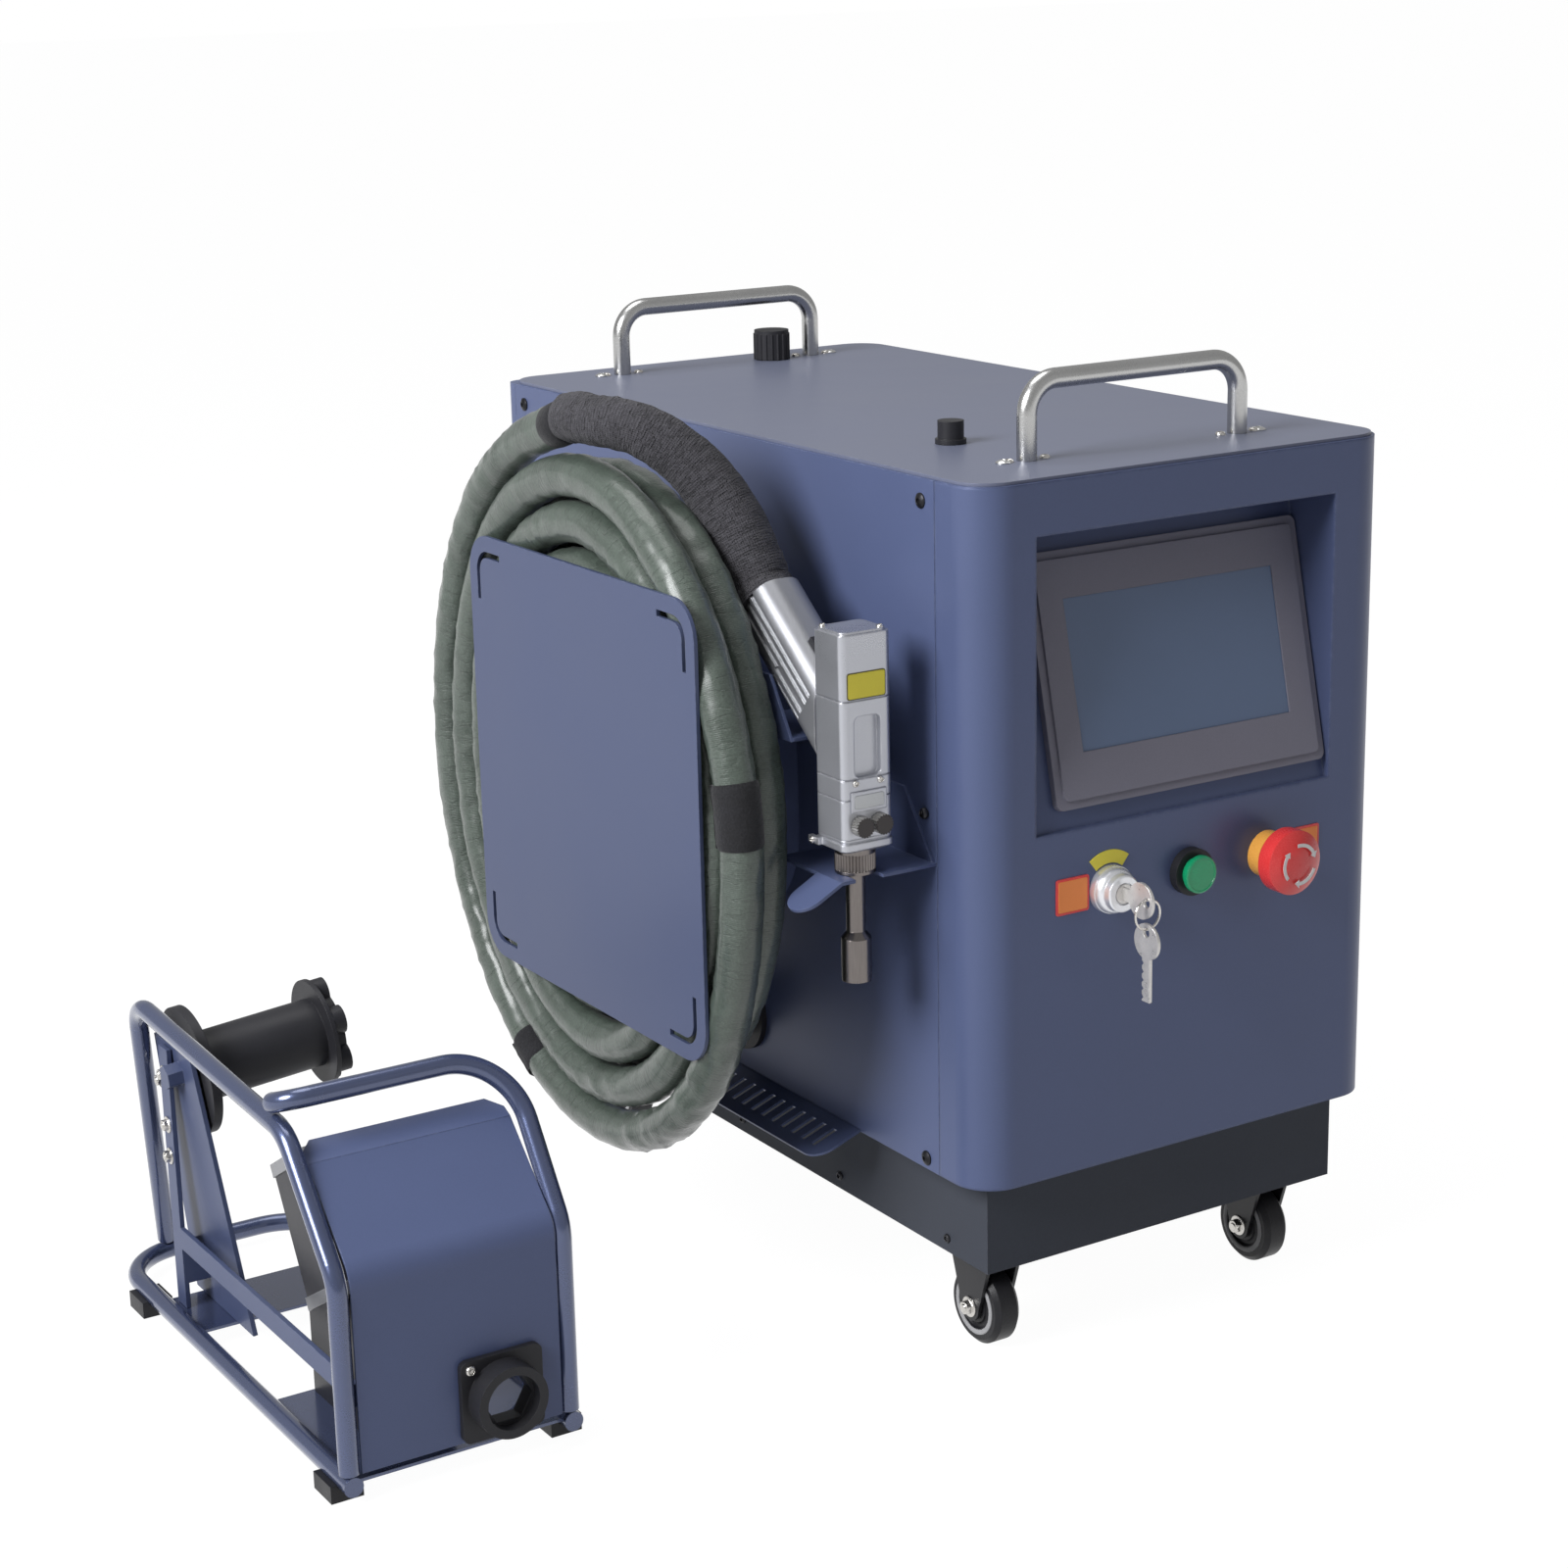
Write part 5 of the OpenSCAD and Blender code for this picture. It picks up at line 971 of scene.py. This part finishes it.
class WELDER_OT_finishes(bpy.types.Operator):
    """The finishes that several pieces share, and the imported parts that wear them."""

    bl_idname = "welder.finishes"
    bl_label = "Finishes"

    def execute(self, context):
        for key, name, colour, shine, more, nodes in LOOKS:
            if isinstance(colour[0], str):
                colour = scaled(getattr(context.scene.welder_paint, colour[0]), colour[1])
            FINISHES[key] = finish(name, colour, *shine, **more)
            dress(nodes, FINISHES[key])
        gloss = shader_of(FINISHES["tube paint with painted shade"])
        gloss["Coat Weight"].default_value = 1.0
        gloss["Coat Roughness"].default_value = 0.12
        shader_of(FINISHES["tray"])["Specular IOR Level"].default_value = 0.1
        lens = shader_of(FINISHES["lens"])
        # The green lens glows faintly though it is no lamp: painted glow.
        lens["Emission Color"].default_value = (0.01, 0.5, 0.2, 1.0)
        lens["Emission Strength"].default_value = 0.12
        self.two_toned()
        return {"FINISHED"}

    def two_toned(self):
        """Nodes with another finish at their ends: lid screws, motor and thumb screws."""
        screws = finish("Cover screws", (0.03, 0.03, 0.034), 0.38, 0.8, speck=0.2)
        dress("cabinet_screws", banded(
            screws, UP, at(0, 0, 0), at(0, 0, 547.5), (0.62, 0.62, 0.61), 0.25, 1.0))
        foot, way = at(-340, 213, 62), Vector((0, 0.5, 0.866))
        case = finish("Motor case", (0.02, 0.02, 0.025), 0.4, 0.1, 0.1, speck=0.12)
        dress("feeder_motor", banded(
            case, way, foot + way * 0.008, foot + way * 0.082, (0.33, 0.335, 0.35), 0.35, 0.9))
        thumbs = finish("Knurled thumb screws", (0.5, 0.49, 0.47), 0.3, 1.0, speck=0.2)
        dress("thumb_screw_left thumb_screw_right", banded(
            thumbs, (0, 1, 0), at(0, 35.3, 0), at(0, 60, 0), (0.06, 0.055, 0.055), 0.4, 0.6))


# ---- cabinet pieces

WHEEL_X, WHEEL_Y = {"left": 46, "right": 262}, {"front": 58.5, "rear": 510}
AXLE_Z, FORK_HALF, HUB_HALF = 25, 12.5, 8.9
GUN_X, GUN_Y = -47, 57
SOCKET_X = -276


class WELDER_OT_fasteners(bpy.types.Operator):
    """Screw and bolt heads over the cabinet, the gun and the feeder."""

    bl_idname = "welder.fasteners"
    bl_label = "Screws and bolts"

    def execute(self, context):
        sizes = context.scene.welder_fasteners
        button, hexagon = screw_form(), hex_form()
        tray = [(at(x, y, 74), way) for x, way in ((18.4, LEFT), (289.6, RIGHT))
                for y in (60, 180, 300, 420, 510)]
        feet = [(at(x + dx, y, 549), UP) for x in (75, 233) for y in (55, 533)
                for dx in (-13, 13)]
        brackets = [(at(-1.6, y, 350), LEFT) for y in (52, 99)]
        gun = [(at(GUN_X - 12.5, GUN_Y + 10.5, 467), UP), (at(GUN_X + 12.5, GUN_Y - 10.5, 467), UP)]
        gun += [(at(GUN_X + dx, GUN_Y - 15, 379), FRONT) for dx in (-8.5, 8.5)]
        gun += [(at(-67.5, 70, 341.5), LEFT)]
        bolts = [(at(-361.2, 367, z), LEFT) for z in (170, 136, 115)]
        bolts += [(at(-357, 384, 160), LEFT)]
        corners = [(at(SOCKET_X - 20, 83.6, 64), FRONT), (at(SOCKET_X + 20, 83.6, 24), FRONT)]
        rows = [
            ("tray_screws", button, tray, 0.0028, "oxide", "cabinet", "dark_steel"),
            ("handle_screws", button, feet, 0.0032, "bright", "cabinet", "stainless"),
            ("bracket_screws", button, brackets, 0.0035, "oxide", "cabinet", "dark_steel"),
            ("gun_screws", button, gun, sizes.gun, "bright", "gun", "zinc_steel"),
            ("feeder_bolts", hexagon, bolts, sizes.bolt, "bright", "feeder", "zinc_steel"),
            ("socket_screws", button, corners, 0.0032, "bright", "feeder", "zinc_steel"),
        ]
        for side, x in WHEEL_X.items():
            under = [(at(x, WHEEL_Y["front"] + dy, 62), DOWN) for dy in (-23.2, 23.2)]
            rows.append((f"caster_bolts_{side}", hexagon, under, 0.0021, "bright", "cabinet",
                         "zinc_steel"))
            for end, body in (("front", "cabinet"), ("rear", f"swivel_{side}")):
                nuts = [(at(x + way * FORK_HALF, WHEEL_Y[end], AXLE_Z), (way, 0, 0))
                        for way in (-1, 1)]
                rows.append((f"{end}_axle_nuts_{side}", hexagon, nuts, 0.0052, "bright", body,
                             "zinc_steel"))
        for name, form, places, size, material, body, slot in rows:
            rides(in_rows(name, form, places, size, FINISHES[material]), body)
        for form in (button, hexagon):
            bpy.data.objects.remove(form)
        return {"FINISHED"}


class WELDER_OT_rims(bpy.types.Operator):
    """The light rims on both sides of each wheel."""

    bl_idname = "welder.rims"
    bl_label = "Wheel rims"

    def execute(self, context):
        for end, y in WHEEL_Y.items():
            for side, x in WHEEL_X.items():
                rings = [turned(at(x + way * HUB_HALF, y, AXLE_Z), (way, 0, 0), [
                    (0.0155, 0.0), (0.0158, 0.0006), (0.0163, 0.0008), (0.0182, 0.0008),
                    (0.0187, 0.0006), (0.019, 0.0),
                ], 48, True) for way in (-1, 1)]
                piece(f"{end}_rims_{side}", rings, "rim", f"wheel_{end}_{side}")
        return {"FINISHED"}


class WELDER_OT_gun(bpy.types.Operator):
    """The gun's clamped foot with its lug, and its bare plates."""

    bl_idname = "welder.gun"
    bl_label = "Gun details"

    def execute(self, context):
        foot = skin([
            [at(x, y, z) for x, y in outline(GUN_X, GUN_Y, 34 - 2 * inset, 30 - 2 * inset, 4.0)]
            for z, inset in ((346.2, 0.4), (345.6, 0.0), (344.6, 0.0), (344.2, 0.5), (343.6, 0.5),
                             (343.2, -0.6), (339.4, -0.6), (338.8, 0.2), (337.2, 3.0))
        ])
        corners = ((64, 339.4), (75, 339.4), (75, 343.4), (64, 343.4))
        lug = plate([at(-64.2, y, z) for y, z in corners], LEFT, 0.003)
        piece("gun_foot", [foot, lug], "aluminium", "gun", 30.0)
        front_plate("gun_badge", (-47.5, 42.02, 436), (26, 15.5), 1.5, 0.5, "ink", "gun")
        front_plate("gun_badge_face", (-47.5, 41.6, 436), (25, 14.5), 1.2, 0.2, "label yellow",
                    "gun")
        front_plate("drawer_plate", (GUN_X, 41.02, 368), (20, 8), 1.2, 0.4, "plain metal",
                    "drawer")
        return {"FINISHED"}


# ---- controls

KEY_X, START_X, STOP_X, CONTROLS_Z = 94, 154.5, 215, 300


def arc(centre, radius, first, last, steps):
    """Points of an upright arc that faces the front, from one angle to the other."""
    out = []
    for k in range(steps + 1):
        angle = math.radians(first + (last - first) * k / steps)
        out.append(centre + Vector((radius * math.cos(angle), 0, radius * math.sin(angle))) * MM)
    return out


class WELDER_OT_controls(bpy.types.Operator):
    """Arrows on the stop head, blank plates, the key's collar, and the lens's face."""

    bl_idname = "welder.controls"
    bl_label = "Control details"

    def execute(self, context):
        arrows = [self.arrow(at(STOP_X, -31, CONTROLS_Z), 12.0, first) for first in (100, 220, 340)]
        piece("stop_arrows", arrows, "white", "stop_head")
        for name, x, z in (("stop_plate", 245, 301), ("power_plate", 67, 300.5)):
            front_plate(name, (x, -0.02, z), (24, 22), 1.5, 0.6, "red", "cabinet")
            front_plate(name + "_face", (x, -0.5, z), (21, 19), 1, 0.4, "orange", "cabinet")
        middle = at(KEY_X, -0.02, CONTROLS_Z)
        sector = arc(middle, 23.5, 52, 128, 16) + arc(middle, 15.5, 128, 52, 16)
        piece("key_plate", [plate(sector, FRONT, 0.0006)], "label yellow", "cabinet")
        collar = turned(at(KEY_X, 0, CONTROLS_Z), FRONT, [
            (0.0085, 0.005), (0.0142, 0.005), (0.0138, 0.0074), (0.0126, 0.0096),
            (0.0116, 0.0102), (0.0113, 0.0146), (0.0104, 0.0154), (0.0068, 0.0154),
            (0.0066, 0.0145),
        ], 64, True)
        piece("key_collar", [collar], "chrome", "cabinet")
        disc = turned(at(START_X, -9.3, CONTROLS_Z), FRONT, [
            (0.0094, 0.0), (0.0116, 0.0), (0.0117, 0.0006), (0.0115, 0.0028), (0.0107, 0.0034),
            (0.0101, 0.0034), (0.0099, 0.0029), (0.006, 0.0031), (0.001, 0.0031),
        ], 64)
        piece("start_face", [disc], "lens", "start")
        return {"FINISHED"}

    def arrow(self, centre, radius, first):
        """A curved arrow that shows which way the head turns to let go."""
        last, head, half = first - 72, 16, 1.1
        outer = arc(centre, radius + half, first, last, 10)
        inner = arc(centre, radius - half, last, first, 10)
        tip = [arc(centre, radius + out, last - ahead, last, 1)[0]
               for out, ahead in ((2.6, 0), (0, head), (-2.6, 0))]
        return plate(outer + tip + inner, FRONT, 0.00035)


# ---- panel and run

SETTINGS = (
    ("welder_hose", HoseSettings), ("welder_paint", PaintSettings),
    ("welder_fasteners", FastenerSettings), ("welder_stage", StageSettings),
)
OPERATORS = (
    WELDER_OT_stage, WELDER_OT_finishes, WELDER_OT_hose, WELDER_OT_wrap, WELDER_OT_ties,
    WELDER_OT_fasteners, WELDER_OT_rims, WELDER_OT_gun, WELDER_OT_controls,
)


class WELDER_PT_panel(bpy.types.Panel):
    """Sizes, colours and pieces of the welder."""

    bl_idname = "WELDER_PT_panel"
    bl_label = "Laser welder"
    bl_space_type = "VIEW_3D"
    bl_region_type = "UI"
    bl_category = "Welder"

    def draw(self, context):
        layout = self.layout
        for key, _ in SETTINGS:
            group = getattr(context.scene, key)
            box = layout.box()
            for name in group.bl_rna.properties.keys():
                if name not in ("rna_type", "name"):
                    box.prop(group, name)
        for operator in OPERATORS:
            layout.operator(operator.bl_idname)


def register():
    for key, group in SETTINGS:
        bpy.utils.register_class(group)
        setattr(bpy.types.Scene, key, PointerProperty(type=group))
    for operator in OPERATORS:
        bpy.utils.register_class(operator)
    bpy.utils.register_class(WELDER_PT_panel)


def unregister():
    bpy.utils.unregister_class(WELDER_PT_panel)
    for operator in reversed(OPERATORS):
        bpy.utils.unregister_class(operator)
    for key, group in reversed(SETTINGS):
        delattr(bpy.types.Scene, key)
        bpy.utils.unregister_class(group)


def main():
    register()
    for operator in OPERATORS:
        area, name = operator.bl_idname.split(".")
        getattr(getattr(bpy.ops, area), name)()


if __name__ == "__main__":
    main()
